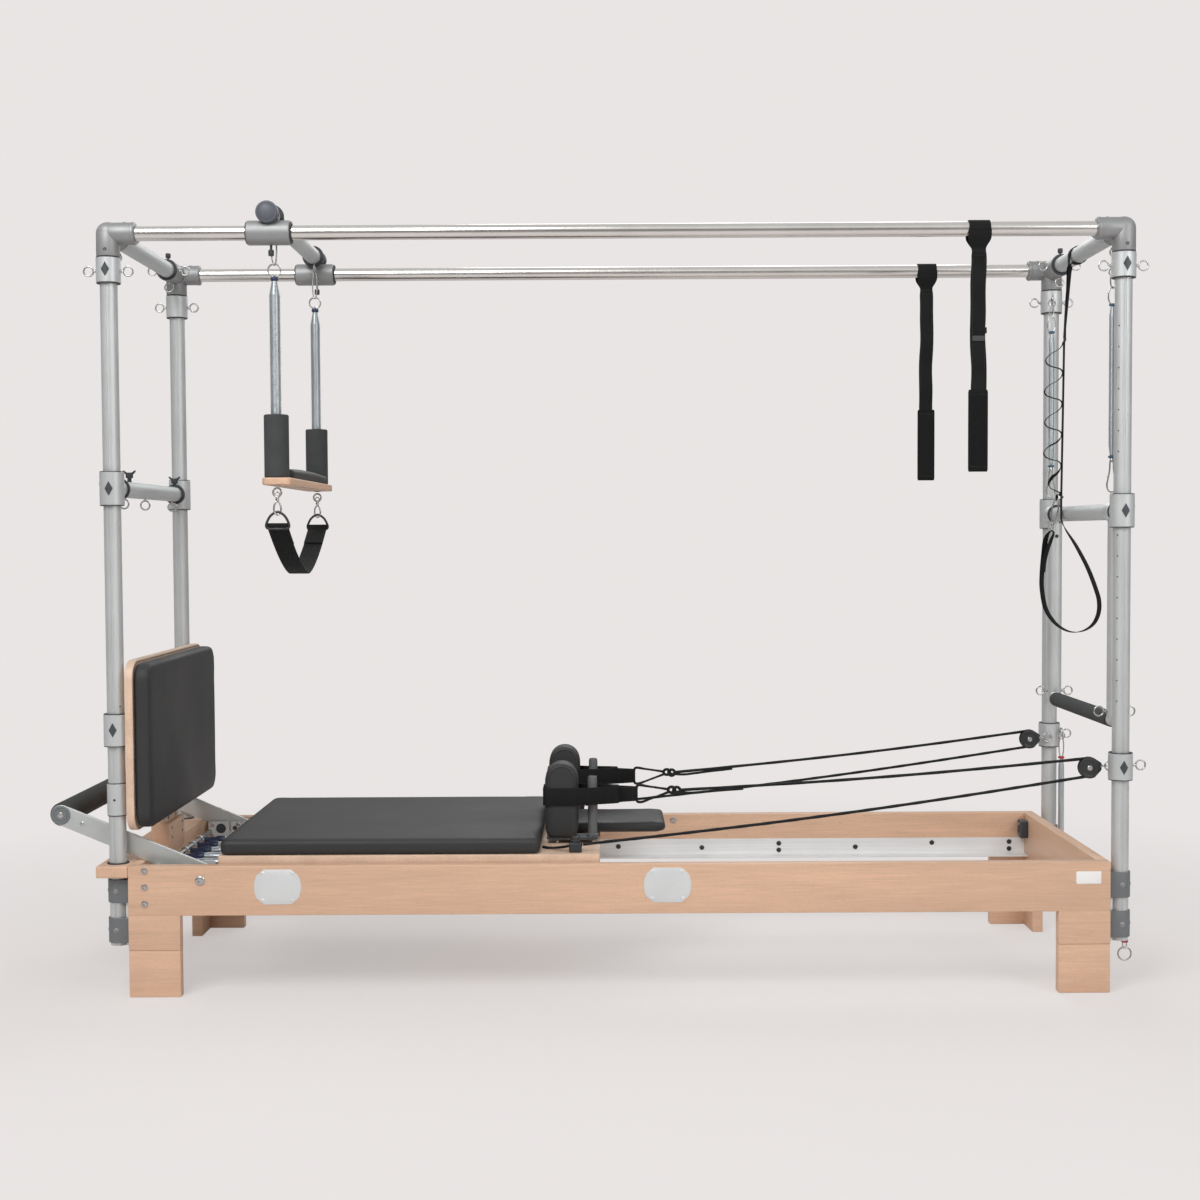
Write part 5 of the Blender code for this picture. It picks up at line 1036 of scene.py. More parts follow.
def middle_bars():
    half = POST_Y - POST_R - 0.004
    for name, body, x, z, low, high, target in (
        ("pivot_bar", "base", POST_X, PIVOT_Z, -0.039, 0.043, "pivot_crossbar"),
        ("foot_bar", "foot_bar", -POST_X, FOOT_BAR_Z, -0.042, 0.041, "foot_crossbar"),
    ):
        bar, cast, rims, dark, knob, bright = shapes(6)
        rod(bar, (x, -half, z), (x, half, z), 0.02, sides=64)
        for side in BOTH:
            y = side * POST_Y
            collar(cast, rims, (x, y, z), low, high)
            rod(cast, (x, y - side * 0.022, z), (x, y - side * (0.052 if name == "foot_bar" else 0.0312), z),
                0.0232, 0.0014, 48)
            diamond(dark, (x, y, z + (low + high) / 2), side)
            way = np.sign(x)
            screw_head(dark, (x + way * 0.0285, y, z + 0.012), (way, 0, 0), 0.0046, 0.0016)
            if name == "foot_bar":
                washer(rims, [(0.0203, 0), (0.0262, 0), (0.0275, 0.0014), (0.0275, 0.0096), (0.0262, 0.011),
                              (0.0203, 0.011)], (x, y - side * 0.05, z), (0, -side, 0))
        if name == "foot_bar":
            for y in (-0.173, 0.266):
                rod(knob, (x, y, z + 0.017), (x, y, z + 0.038), 0.0052, sides=20)
                lathe(knob, [(0, 0.03), (0.0085, 0.03), (0.0092, 0.034), (0.0085, 0.041), (0.004, 0.044),
                             (0, 0.044)], (x, y, z), Z, 24)
                wing = [(x + a, z + b) for a, b in (
                    (-0.015, 0.05), (-0.0158, 0.046), (-0.006, 0.036), (0.006, 0.036), (0.0158, 0.046),
                    (0.015, 0.05), (0.006, 0.044), (-0.006, 0.044))]
                prism(knob, wing, y - 0.0034, y + 0.0034, "y", 0.0012)
            for y in (-0.223, -0.032, 0.239):
                eye(bright, (x, y, z - 0.0355), (0, 0, -1), Y, shank=0.004)
            piece("foot_bar_wings", knob, "rubber", body)
            piece("foot_bar_eyes", bright, "chrome", body)
        piece(f"{name}_tube", bar, "aluminium_y", body, target)
        pieces(f"{name}_", body, ("collars", cast, "collar"), ("rims", rims, "rubber"), ("diamonds", dark, "inlay"))


def push_through():
    x, low, y1 = POST_X, PUSH_Z, 0.272
    frame_bar, bright, caps = shapes(3)
    for side in BOTH:
        y = side * y1
        bend = [(x, y, PIVOT_Z - 0.014), (x, y, low + 0.03)]
        bend += [(x, y - side * 0.022 * (1 - cos(a)), low + 0.022 - 0.022 * sin(a))
                 for a in np.linspace(0.0, pi / 2, 12)]
        bend += [(x, y - side * 0.034, low)]
        sweep(frame_bar, bend, circle(0.0188, 48), across=X,
              scales=[1.0] * 2 + [1.0 - 0.16 * t for t in np.linspace(0, 1, 12)] + [0.84])
        tube(frame_bar, (x, y - 0.0172, PIVOT_Z), (x, y + 0.0172, PIVOT_Z), 0.0275, 0.0207, 0.0014, 48)
        for end in (-1, 1):
            tube(caps, (x, y + end * 0.0172, PIVOT_Z), (x, y + end * 0.0177, PIVOT_Z), 0.0262, 0.0208, 0.0002, 48)
            eye(bright, (x + end * 0.038, y, low + 0.0225), (end, 0, 0), Y, shank=0.003)
        screw_head(caps, (x, y - side * 0.0186, PIVOT_Z - 0.06), (0, -side, 0), 0.0048, 0.0016)
    rod(frame_bar, (x, -y1 + 0.03, low), (x, y1 - 0.03, low), 0.015, sides=40)
    piece("push_frame", frame_bar, "aluminium_z", "push_bar", "push_through_bar")
    piece("push_knuckle_washers", caps, "rubber", "push_bar")
    piece("push_eyes", bright, "chrome", "push_bar")
    grip = Shape()
    half = 0.251
    profile = [(0.0152, -half), (0.0182, -half), (0.019, -half + 0.0012)]
    profile += [(0.0192 + 0.00012 * sin(i * 1.7), -half + 0.004 + (2 * half - 0.008) * i / 60) for i in range(61)]
    profile += [(0.019, half - 0.0012), (0.0182, half), (0.0152, half)]
    washer(grip, profile, (x, 0, low), Y)
    item = piece("push_grip", grip, "foam", "push_bar", "push_through_grip")


def pulleys():
    for side in BOTH:
        name = SIDES[side]
        x, y = POST_X, side * POST_Y
        px, py, pz = PULLEY[0], side * PULLEY[1], PULLEY[2]
        cast, rims, bright, dark = shapes(4)
        collar(cast, rims, (x, y, 0), pz - 0.025, pz + 0.042)
        eye_z = 0.537
        ring(bright, (1.2005, py, eye_z), Y, 0.0115, 0.0018)
        rod(bright, (1.212, y - side * 0.026, eye_z), (1.212, py - side * 0.0016, eye_z), 0.0026, sides=14)
        ring(bright, (LEG_SPRING[0], side * LEG_SPRING[1], LEG_SPRING[2]), X, 0.0115, 0.0018)
        rod(bright, (LEG_SPRING[0], y - side * 0.012, LEG_SPRING[2]), (LEG_SPRING[0], side * 0.2972, LEG_SPRING[2]),
            0.0028, sides=14)
        eye(bright, (x + 0.0485, y, pz + 0.011), X, Y, shank=0.007)
        diamond(dark, (x, y, pz + 0.008), side)
        pieces(f"{name}_", "base", ("rope_collar", cast, "collar", "pulley_collar"),
               ("rope_collar_rims", rims, "rubber"), ("rope_collar_eyes", bright, "chrome"),
               ("rope_collar_diamond", dark, "inlay"))
        cheeks, pin = shapes(2)
        outline = [(px + 0.026 * cos(a), pz + 0.026 * sin(a)) for a in fan(62, 298, 40)]
        outline += [(1.1775, pz - 0.0062), (1.1785, pz - 0.003), (1.1785, pz + 0.01), (1.1775, pz + 0.0128)]
        for out in (-1, 1):
            lo, hi = sorted((py + out * 0.0063, py + out * 0.0094))
            prism(cheeks, outline, lo, hi, "y", 0.0011, 3)
            washer(cheeks, [(0.006, 0), (0.0225, 0), (0.022, 0.0007), (0.0205, 0.001), (0.019, 0.0003),
                            (0.011, 0.0003), (0.0095, 0.0009), (0.006, 0.0009)], (px, py + out * 0.0092, pz),
                   (0, out, 0))
            lathe(pin, [(0, 0), (0.0064, 0), (0.0064, 0.0012), (0.0056, 0.0018), (0.0034, 0.0018), (0.003, 0.001),
                        (0, 0.001)], (px, py + out * 0.0094, pz), (0, out, 0), 32)
        block(cheeks, (1.1748, 1.1785), (py - 0.009, py + 0.009), (pz - 0.004, pz + 0.01), 0.001)
        rod(pin, (px, py - 0.0096, pz), (px, py + 0.0096, pz), 0.004, sides=20)
        piece(f"{name}_pulley_cheeks", cheeks, "plastic", "base", f"{name}_pulley_block")
        shackle = [(a, py + b, eye_z) for a, b in ((1.1762, -0.0072), (1.185, -0.0078), (1.1905, -0.005), (1.1928, 0),
                                                   (1.1905, 0.005), (1.185, 0.0078), (1.1762, 0.0072))]
        sweep(pin, smooth(shackle, 6), circle(0.0016, 12), across=Z)
        rod(pin, (1.1772, py - 0.01, eye_z), (1.1772, py + 0.01, eye_z), 0.002, sides=14)
        piece(f"{name}_pulley_pin", pin, "chrome", "base")
        wheel = Shape()
        profile = [(0.0046, 0.0055), (0.0232, 0.0055), (0.0235, 0.005), (0.0235, 0.0044)]
        profile += [(0.0235 - 0.0048 * cos(a) ** 0.8, 0.004 * sin(a)) for a in np.linspace(1.35, -1.35, 15)]
        profile += [(0.0235, -0.0044), (0.0235, -0.005), (0.0232, -0.0055), (0.0046, -0.0055)]
        washer(wheel, profile, (px, py, pz), Y)
        for k in range(6):
            rx, rz = px + 0.0125 * cos(radians(60 * k)), pz + 0.0125 * sin(radians(60 * k))
            rod(wheel, (rx, py - 0.0058, rz), (rx, py + 0.0058, rz), 0.0022, sides=12)
        piece(f"{name}_wheel", wheel, "plastic", f"{name}_sheave_body", f"{name}_sheave")


for side in BOTH:
    for end in (FOOT, HEAD):
        post(end, side)
        bracket(end, side)
        corner(end, side)
top_tubes()
middle_bars()
push_through()
pulleys()


# Padding
SWELLING = []


def cushion(name, shape, voxel, cap, held):
    """An even skin over a padded form, to be filled out by pressure where held(point) is false."""
    item = item_from(name, shape)
    skin = item.modifiers.new("skin", "REMESH")
    skin.mode, skin.voxel_size = "VOXEL", voxel
    bpy.context.view_layer.update()
    graph = bpy.context.evaluated_depsgraph_get()
    fine = bpy.data.meshes.new_from_object(item.evaluated_get(graph))
    item.modifiers.clear()
    item.data = fine
    co = coords(item)
    group = item.vertex_groups.new(name="held")
    group.add([i for i, p in enumerate(co) if held(p[0] - SHIFT, p[1], p[2])], 1.0, "ADD")
    SWELLING.append((item, cap, co))
    return item


def coords(item):
    co = np.zeros(len(item.data.vertices) * 3)
    item.data.vertices.foreach_get("co", co)
    return co.reshape(-1, 3)


def swell(frames=14):
    """Fills every cushion out with a little air, then takes the result as its mesh."""
    for item, _, _ in SWELLING:
        cloth = item.modifiers.new("air", "CLOTH")
        cloth.settings.use_pressure = True
        cloth.settings.uniform_pressure_force = 4.0
        cloth.settings.quality = 4
        cloth.settings.mass = 0.25
        cloth.settings.bending_stiffness = 2.0
        cloth.settings.effector_weights.gravity = 0.0
        cloth.settings.vertex_group_mass = "held"
        cloth.collision_settings.use_collision = False
        cloth.point_cache.frame_end = frames
    for step in range(1, frames + 1):
        bpy.context.scene.frame_set(step)
    graph = bpy.context.evaluated_depsgraph_get()
    results = [coords(item.evaluated_get(graph)) for item, _, _ in SWELLING]
    for (item, cap, rest), co in zip(SWELLING, results):
        item.modifiers.clear()
        moved = co - rest
        far = np.linalg.norm(moved, axis=1)
        far[~np.isfinite(far)] = 0
        moved = np.nan_to_num(moved)
        share = np.where(far > 1e-9, cap * np.tanh(far / cap) / np.maximum(far, 1e-9), 0.0)
        item.data.vertices.foreach_set("co", (rest + moved * share[:, None]).ravel())
    bpy.context.scene.frame_set(1)
    for item, _, _ in SWELLING:
        item.vertex_groups.clear()
        finer = item.modifiers.new("finer", "SUBSURF")
        finer.levels = finer.render_levels = 1


def upholster(item, look, body, *nodes, fill=0.8):
    dress(item, look, body, *nodes, crease=0)
    return item


def pads():
    half = DECK_HALF
    low = DECK_TOP + 0.0003
    deck_form = Shape()
    slab(deck_form, (DECK_START + 0.0015, -half + 0.0015), (-0.188 - 0.0015, half - 0.0015), 0.018, 6, low + 0.0002,
         low + 0.0385, 0.0115, 5)
    deck_pad = cushion("carriage_cushion", deck_form, 0.0068, 0.0016, lambda x, y, z: z < low + 0.006)
    head = Shape()
    slab(head, (-0.1605, -0.1105), (0.1229, 0.1105), 0.022, 6, 0.3495, 0.373, 0.0085, 4)
    head_pad = cushion("head_cushion", head, 0.0046, 0.0018, lambda x, y, z: z < 0.3525)
    rests = []
    for side in BOTH:
        form = Shape()
        cx, r = REST_X, 0.0405
        outline = arc((cx, 0.498), r, 0, 180, 28)
        outline += [(cx - r, 0.362), (cx - r + 0.01, 0.3515), (cx + r - 0.01, 0.3515), (cx + r, 0.362)]
        prism(form, outline, side * REST_Y - 0.0385, side * REST_Y + 0.0385, "y", 0.0105, 4)
        rests.append(cushion(f"{SIDES[side]}_shoulder_pad", form, 0.0036, 0.0014, lambda x, y, z: z < 0.356))
    board = Shape()
    start = -1.1669
    outline = rounded_outline((-0.3445, 0.4005), (0.3445, 0.8045), 0.043, 10)
    prism(board, outline, start + 0.0002, start + 0.0385, "x", 0.011, 4)
    jump_pad = cushion("jump_cushion", board, 0.0062, 0.0016, lambda x, y, z: x < start + 0.006)
    swell()
    upholster(deck_pad, "vinyl", "carriage", "carriage_pad")
    upholster(head_pad, "vinyl", "headrest_body", "headrest", fill=0.7)
    for side, item in zip(BOTH, rests):
        upholster(item, "vinyl", f"{SIDES[side]}_rest", f"{SIDES[side]}_shoulder_rest", fill=0.9)
    upholster(jump_pad, "vinyl", "jumpboard_body", "jumpboard_pad")


# Carriage
def deck():
    board, hangers, locks, rims = shapes(4)
    slab(board, (DECK_START, -DECK_HALF), (DECK_END, DECK_HALF), 0.005, 4, DECK_TOP - 0.028, DECK_TOP, 0.0016, 3)
    piece("deck_board", board, "ply_edge", "carriage", "carriage_deck")
    for side in BOTH:
        for x in AXLES.values():
            outline = [(x - 0.016, 0.308), (x - 0.016, 0.262)] + arc((x, AXLE_Z), 0.0148, 180, 360, 12)
            outline += [(x + 0.016, 0.262), (x + 0.016, 0.308)]
            prism(hangers, outline, side * 0.288, side * 0.296, "y", 0.001)
        y = side * 0.3
        block(locks, (-0.121, -0.09), (y - 0.015, y + 0.015), (DECK_TOP - 0.001, DECK_TOP + 0.024), 0.004, 4)
        rod(locks, (-0.1055, y, DECK_TOP + 0.02), (-0.1055, y, DECK_TOP + 0.0395), 0.0125, 0.003, 32, 0.0115)
        ring(rims, (-0.1055, y, DECK_TOP + 0.029), Z, 0.0119, 0.0008, 32, 8)
        ring(rims, (-0.0898, y, 0.353), X, 0.0044, 0.0013, 24, 8)
    piece("axle_hangers", hangers, "plate", "carriage")
    piece("rope_locks", locks, "plastic", "carriage")
    piece("rope_lock_rims", rims, "rubber", "carriage")


def headrest_frame():
    hinge, prop, backing = shapes(3)
    rod(hinge, (-0.158, -0.097, 0.3428), (-0.158, 0.097, 0.3428), 0.0062, sides=24)
    for y in (-0.062, 0.062):
        slab(hinge, (-0.158, y - 0.018), (-0.128, y + 0.018), 0.004, 3, 0.3465, 0.3493, 0.0004)
    piece("headrest_hinge", hinge, "chrome", "headrest_body")
    block(prop, (-0.0856, -0.0616), (-0.06, 0.06), (DECK_TOP + 0.0003, 0.35), 0.0012)
    piece("headrest_prop", prop, "wood_y", "headrest_body")
    slab(backing, (-0.15, -0.098), (0.11, 0.098), 0.018, 5, 0.347, 0.3502, 0.0006)
    piece("headrest_board", backing, "plastic", "headrest_body")


def shoulder_rest(side):
    """A rest's base plate, its peg, the pins that plug into the deck, and the seams round its pad."""
    name, y, cx, px = SIDES[side], side * REST_Y, REST_X, PEG_X
    reach = 0.0318
    base, peg, pins, seam = shapes(4)
    slab(base, (cx - 0.038, y - 0.03), (px + 0.013, y + 0.03), 0.008, 5, 0.345, 0.351, 0.001)
    for dy in (-0.019, 0.019):
        screw_head(pins, (px - 0.005, y + dy, 0.351), Z, 0.0044, 0.0016)
    lathe(peg, [(0, 0), (0.015, 0), (0.015, 0.004), (0.012, 0.006), (0.0118, 0.008), (0.0118, 0.143),
                (0.0108, 0.149), (0.0085, 0.1505), (0.008, 0.148), (0, 0.148)], (px, y, 0.351), Z, 36)
    for x in (-0.153, -0.0615):
        for dy, sunk in ((-0.0215, -0.0004), (0.0, 0.02), (0.0215, -0.0004)):
            rod(pins, (x, y + dy, DECK_TOP - sunk), (x, y + dy, 0.3455), 0.003, sides=16)
            washer(pins, [(0.003, 0), (0.0062, 0), (0.0062, 0.0012), (0.003, 0.0012)], (x, y + dy, 0.3402), Z, 20)
    for out in (-1, 1):
        line = [(cx + reach * cos(a), y + out * 0.04, 0.498 + reach * sin(a)) for a in np.linspace(0, pi, 30)]
        down = [[(cx + to * reach, y + out * 0.04, 0.48 + 0.018 * t) for t in (0.0, 0.5)] for to in (1, -1)]
        sweep(seam, down[0] + line + down[1][::-1], circle(0.0008, 8), across=Y)
    pieces(f"{name}_", f"{name}_rest", ("rest_plate", base, "rubber"), ("rest_peg", peg, "peg"),
           ("rest_pins", pins, "chrome"), ("rest_seams", seam, "thread"))


def wheel_axle(end, x):
    name = ENDS[end]
    axle, wheels = shapes(2)
    rod(axle, (x, -0.322, AXLE_Z), (x, 0.322, AXLE_Z), 0.006, sides=24)
    for side in BOTH:
        y = side * 0.314
        profile = [(0.0062, -0.009), (0.0235, -0.009), (0.0257, -0.0072), (0.026, -0.0058), (0.026, 0.0058),
                   (0.0257, 0.0072), (0.0235, 0.009), (0.0215, 0.0086), (0.019, 0.0062), (0.0125, 0.0062),
                   (0.0105, 0.0088), (0.0062, 0.0088)]
        washer(wheels, profile, (x, y, AXLE_Z), Y)
        washer(wheels, [(0.0062, 0), (0.011, 0), (0.011, 0.006), (0.01, 0.007), (0.0062, 0.007)],
               (x, y - side * 0.009, AXLE_Z), (0, -side, 0), 32)
        screw_head(axle, (x, y + side * 0.0085, AXLE_Z), (0, side, 0), 0.0082, 0.001)
    pieces(f"{name}_", f"{name}_axle", ("axle", axle, "chrome", "wheel_axle"), ("wheels", wheels, "plastic"))


def bed_springs():
    coils, ends, hooks, bar = shapes(4)
    for index in range(5):
        y = (index - 2) * 0.078
        coil(coils, (-1.069, y, BED_SPRING_Z), (-0.515, y, BED_SPRING_Z), 0.0124, 0.0031, 20, (0.8, 0.72), 0.022)
        lathe(ends, [(0, 0), (0.0066, 0), (0.0074, 0.002), (0.0074, 0.022), (0.0095, 0.03), (0.0118, 0.036),
                     (0.0122, 0.052), (0.0112, 0.0555), (0, 0.0555)], (-1.12, y, BED_SPRING_Z), X, 32)
        hook = [(-1.119, y, 0.285), (-1.1245, y, 0.286), (-1.1262, y, 0.2905), (-1.13, y, 0.2942),
                (-1.135, y, 0.2954), (-1.14, y, 0.2942), (-1.1438, y, 0.2905)]
        sweep(hooks, smooth(hook, 6), circle(0.0019, 12))
        tail = [(-0.52, y, BED_SPRING_Z), (-0.512, y, 0.2865), (-0.5065, y, 0.293), (-0.501, y, 0.2942),
                (-0.4945, y, 0.2905), (-0.492, y, 0.285)]
        sweep(bar, smooth(tail, 6), circle(0.0019, 12))
    item = piece("bed_spring_coils", coils, "zinc", None, "reformer_springs")
    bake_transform(item)
    piece("bed_spring_ends", ends, "blue", "base", slot="spring_steel")
    piece("bed_spring_hooks", hooks, "zinc", "base")
    rod(bar, (-0.501, -0.19, BED_SPRING_Z), (-0.501, 0.19, BED_SPRING_Z), 0.007, sides=24)
    for side in BOTH:
        block(bar, (-0.516, -0.486), (side * 0.176, side * 0.182), (0.276, 0.3075), 0.001)
    piece("spring_hook_bar", bar, "zinc", "carriage")


pads()
deck()
headrest_frame()
for side in BOTH:
    shoulder_rest(side)
for end, x in AXLES.items():
    wheel_axle(end, x)
bed_springs()


# Footbar and jumpboard
def footbar():
    low, high = np.array((-1.005, 0.281)), np.array((-1.36202, 0.43034))
    way = unit(high - low)
    lean = degrees(atan2(way[1], way[0]))
    arms, discs, bolts, frame_tube, grip = shapes(5)
    rod(frame_tube, (high[0], -0.2865, high[1]), (high[0], 0.2865, high[1]), 0.016)
    profile = [(0.0162, -0.2862), (0.0272, -0.2862), (0.029, -0.2844), (0.029, 0.2844), (0.0272, 0.2862),
               (0.0162, 0.2862)]
    washer(grip, profile, (high[0], 0, high[1]), Y, 56)
    for side in BOTH:
        outline = arc(low, 0.0245, lean + 90, lean + 270, 18) + arc(high, 0.0245, lean - 90, lean + 90, 18)
        prism(arms, outline[::-1], side * 0.2872, side * 0.295, "y", 0.0014, 3)
        for (x, z), r in ((high, 0.0235), (low, 0.02)):
            y = side * 0.2948
            lathe(discs, [(0, 0), (r, 0), (r, 0.0012), (r - 0.0016, 0.0026), (r - 0.006, 0.0026),
                          (r - 0.0068, 0.0019), (r - 0.0082, 0.0019), (r - 0.009, 0.003), (r - 0.0125, 0.0032),
                          (0, 0.0032)], (x, y, z), (0, side, 0), 48)
            screw_head(bolts, (x, y + side * 0.003, z), (0, side, 0), 0.0068, 0.0012)
        rod(frame_tube, (low[0], side * 0.2975, low[1]), (low[0], side * 0.3402, low[1]), 0.014)
        screw_head(bolts, (low[0], side * 0.2872, low[1]), (0, -side, 0), 0.01, 0.0028)
        screw_head(bolts, (high[0] + 0.052, side * 0.295, high[1] - 0.0217), (0, side, 0), 0.0055, 0.0016)
    pieces("footbar_", "footbar", ("tube", frame_tube, "aluminium_y", "frame"), ("arms", arms, "painted_arm"),
           ("discs", discs, "dark_casting"), ("bolts", bolts, "chrome"), ("foam", grip, "foam", "grip"))


def jumpboard():
    board, rims, screws = shapes(3)
    outline = arc((0.302, 0.762), 0.048, 0, 90, 10) + arc((-0.302, 0.762), 0.048, 90, 180, 10)
    outline += arc((-0.302, 0.443), 0.048, 180, 270, 10)
    outline += [(-0.06, 0.395), (-0.06, 0.326), (-0.0545, 0.3205), (0.0545, 0.3205), (0.06, 0.326), (0.06, 0.395)]
    outline += arc((0.302, 0.443), 0.048, 270, 360, 10)
    back, front = -1.1862, -1.1672
    prism(board, outline, back, front, "x", 0.0016, 3)
    for y in (-0.305, 0.305):
        for z in (0.44, 0.765):
            screw_head(screws, (back, y, z), (-1, 0, 0), 0.0058, 0.0014)
    for y in (-0.036, 0.036):
        screw_head(screws, (back, y, 0.38), (-1, 0, 0), 0.0064, 0.0016)
        screw_head(screws, (front, y, 0.38), X, 0.0064, 0.0016)
    piece("jumpboard_panel", board, "ply_edge", "jumpboard_body", "jumpboard")
    piece("jumpboard_screws", screws, "chrome", "jumpboard_body")
    edge = rounded_outline((-0.3452, 0.3998), (0.3452, 0.8052), 0.0436, 10)
    sweep(rims, [(-1.1658, y, z) for y, z in edge], circle(0.0008, 8), across=X, closed=True)
    piece("jumpboard_piping", rims, "thread", "jumpboard_body")


# Trapeze and swing
def stitches(shape, points, out, long=0.0036, wire=0.0004):
    """Short raised stitches along a line of points."""
    points = [array(p) for p in points]
    out = unit(out)
    for a, b in zip(points, points[1:]):
        count = max(1, int(gap(a, b) / (long * 1.6)))
        for i in range(count):
            mid = a + (b - a) * (i + 0.5) / count + out * 0.0001
            half = unit(b - a) * long / 2
            sweep(shape, [mid - half, mid + out * 0.0003, mid + half], circle(wire, 6))
    return shape


def snap(shape, top, drop, out):
    """A spring snap hook hanging from the top point: swivel eye, neck, oval hook and its bar."""
    x, y, z = top
    out = unit(out)
    ring(shape, (x, y, z - 0.0065), out, 0.0065, 0.0016, 24, 10)
    rod(shape, (x, y, z - 0.0125), (x, y, z - 0.0215), 0.0036, 0.0008, 20)
    side = np.cross(out, (0, 0, 1.0))
    centre = np.array((x, y, z - 0.0215 - (drop - 0.0215) / 2))
    tall, wide = (drop - 0.0215) / 2 - 0.001, 0.0085
    line = [centre + side * wide * sin(a) * (1 - 0.12 * cos(a)) + np.array((0, 0, tall * cos(a))) for a in turns(28)]
    sweep(shape, line, circle(0.0021, 12), across=tuple(out), closed=True)
    rod(shape, centre - side * wide * 1.02 + np.array((0, 0, tall * 0.45)),
        centre - side * wide * 1.16 + np.array((0, 0, tall * 0.45)), 0.0022, 0.0006, 14)
    return shape


def trapeze():
    x, z = TRAPEZE_X, 1.878
    sleeve, rims, bar, caps, screws, eyes = shapes(6)
    for side in BOTH:
        y = side * POST_Y
        half = 0.0518
        washer(sleeve, [(0.0208, -half), (0.0276, -half), (0.0293, -half + 0.002), (0.0293, half - 0.002),
                        (0.0276, half), (0.0208, half)], (x, y, TOP_Z), X)
        for end in (-1, 1):
            washer(rims, [(0.0206, 0.0), (0.0262, 0.0), (0.027, 0.0012), (0.0262, 0.0024), (0.0206, 0.0024)],
                   (x + end * half, y, TOP_Z), (end, 0, 0), 40)
        lathe(caps, [(0, 0), (0.0262, 0), (0.0266, 0.0015), (0.0266, 0.015), (0.0258, 0.0178), (0.0236, 0.0196),
                     (0.0214, 0.0198), (0.0206, 0.019), (0.0196, 0.0198), (0.016, 0.0222), (0.009, 0.0242),
                     (0, 0.025)], (x, side * 0.338, z), (0, side, 0), 48)
        washer(rims, [(0.0212, 0), (0.0285, 0), (0.0292, 0.0015), (0.0292, 0.0075), (0.028, 0.009),
                      (0.0212, 0.009)], (x, side * (POST_Y - 0.04), z), (0, side, 0))
        thumb_screw(screws, (x + 0.004, y, TOP_Z - 0.0288), (0, 0, -1), 0.026, 0.0065)
        thumb_screw(screws, (-0.811, y, TOP_Z + 0.0285), Z, 0.0235, 0.006)
        eye(eyes, (-0.825, side * 0.285, 1.847), (0, 0, -1), X, 0.0115, 0.0026, 0.014)
    rod(bar, (x, -0.344, z), (x, 0.344, z), 0.021, 0.001, 48)
    pieces("trapeze_", "trapeze", ("sleeves", sleeve, "casting"), ("rims", rims, "rubber"),
           ("bar", bar, "aluminium_y", "crossbar"), ("caps", caps, "cap"), ("screws", screws, "rubber"),
           ("eyes", eyes, "chrome"))


def swing():
    x = SWING_X
    for side in BOTH:
        name, y = SIDES[side], side * SWING_Y
        windings, bands, links = shapes(3)
        coil(windings, (x, y, 1.2503), (x, y, 1.7262), 0.0138, 0.0033, 20, (0.75, 0.52), 0.036)
        lathe(windings, [(0, -0.001), (0.007, -0.001), (0.005, 0.008), (0.0036, 0.019), (0, 0.019)], (x, y, 1.707),
              Z, 32)
        lathe(bands, [(0, 0), (0.0088, 0), (0.0094, 0.0012), (0.0094, 0.007), (0.008, 0.009), (0, 0.009)],
              (x, y, 1.7255), Z, 32)
        ring(links, (x, y, 1.75), Y, 0.015, 0.0019, 40, 12)
        ring(links, (x, y, 1.7504), (0.05, 1, 0.35), 0.0152, 0.0019, 40, 12)
        lowest = [(x, y, 1.7335), (x, y - 0.005, 1.7372), (x, y, 1.74), (x, y + 0.005, 1.7372)]
        sweep(links, smooth(lowest, 6, closed=True), circle(0.0018, 10), across=X, closed=True)
        link(links, (x, y, 1.7995), 0.006, 0.0375, 0.0019, steps=24)
        piece(f"{name}_swing_coil", windings, "zinc", "swing", f"{name}_swing_spring")
        piece(f"{name}_swing_band", bands, "blue", "swing", slot="spring_steel")
        piece(f"{name}_swing_links", links, "chrome", "swing")
    seat, eyes, clips = shapes(3)
    slab(seat, (-0.857, -0.315), (-0.787, 0.315), 0.012, 6, 1.232, 1.25, 0.0035, 4)
    for side in BOTH:
        y = side * SWING_Y
        eye(eyes, (x, y, 1.2145), Z, (0.12, 1, 0), 0.0104, 0.0024, 0.012)
        washer(eyes, [(0.003, 0), (0.0095, 0), (0.01, 0.001), (0.006, 0.0018), (0.003, 0.0018)], (x, y, 1.2302), Z,
               28)
        snap(clips, (x, y, 1.215), 0.056, (0.25 * side, 1, 0))
    piece("swing_board", seat, "wood_y", "swing", "swing_seat")
    piece("swing_eyes", eyes, "chrome", "swing")
    loops = Shape()
    for side in BOTH:
        y = side * SWING_Y
        line = smooth([(x - 0.0205, y, 1.1262), (x - 0.0272, y, 1.13), (x - 0.0268, y, 1.14),
                       (x - 0.0168, y, 1.158), (x, y, 1.1672), (x + 0.0168, y, 1.158), (x + 0.0268, y, 1.14),
                       (x + 0.0272, y, 1.13), (x + 0.0205, y, 1.1262)], 7)
        sweep(loops, line, circle(0.0031, 12), across=Y)
        rod(loops, (x - 0.0215, y, 1.1262), (x + 0.0215, y, 1.1262), 0.0031, sides=14)
    piece("swing_snaps", clips, "chrome", "swing_loop")
    piece("swing_dees", loops, "plastic", "swing_loop")


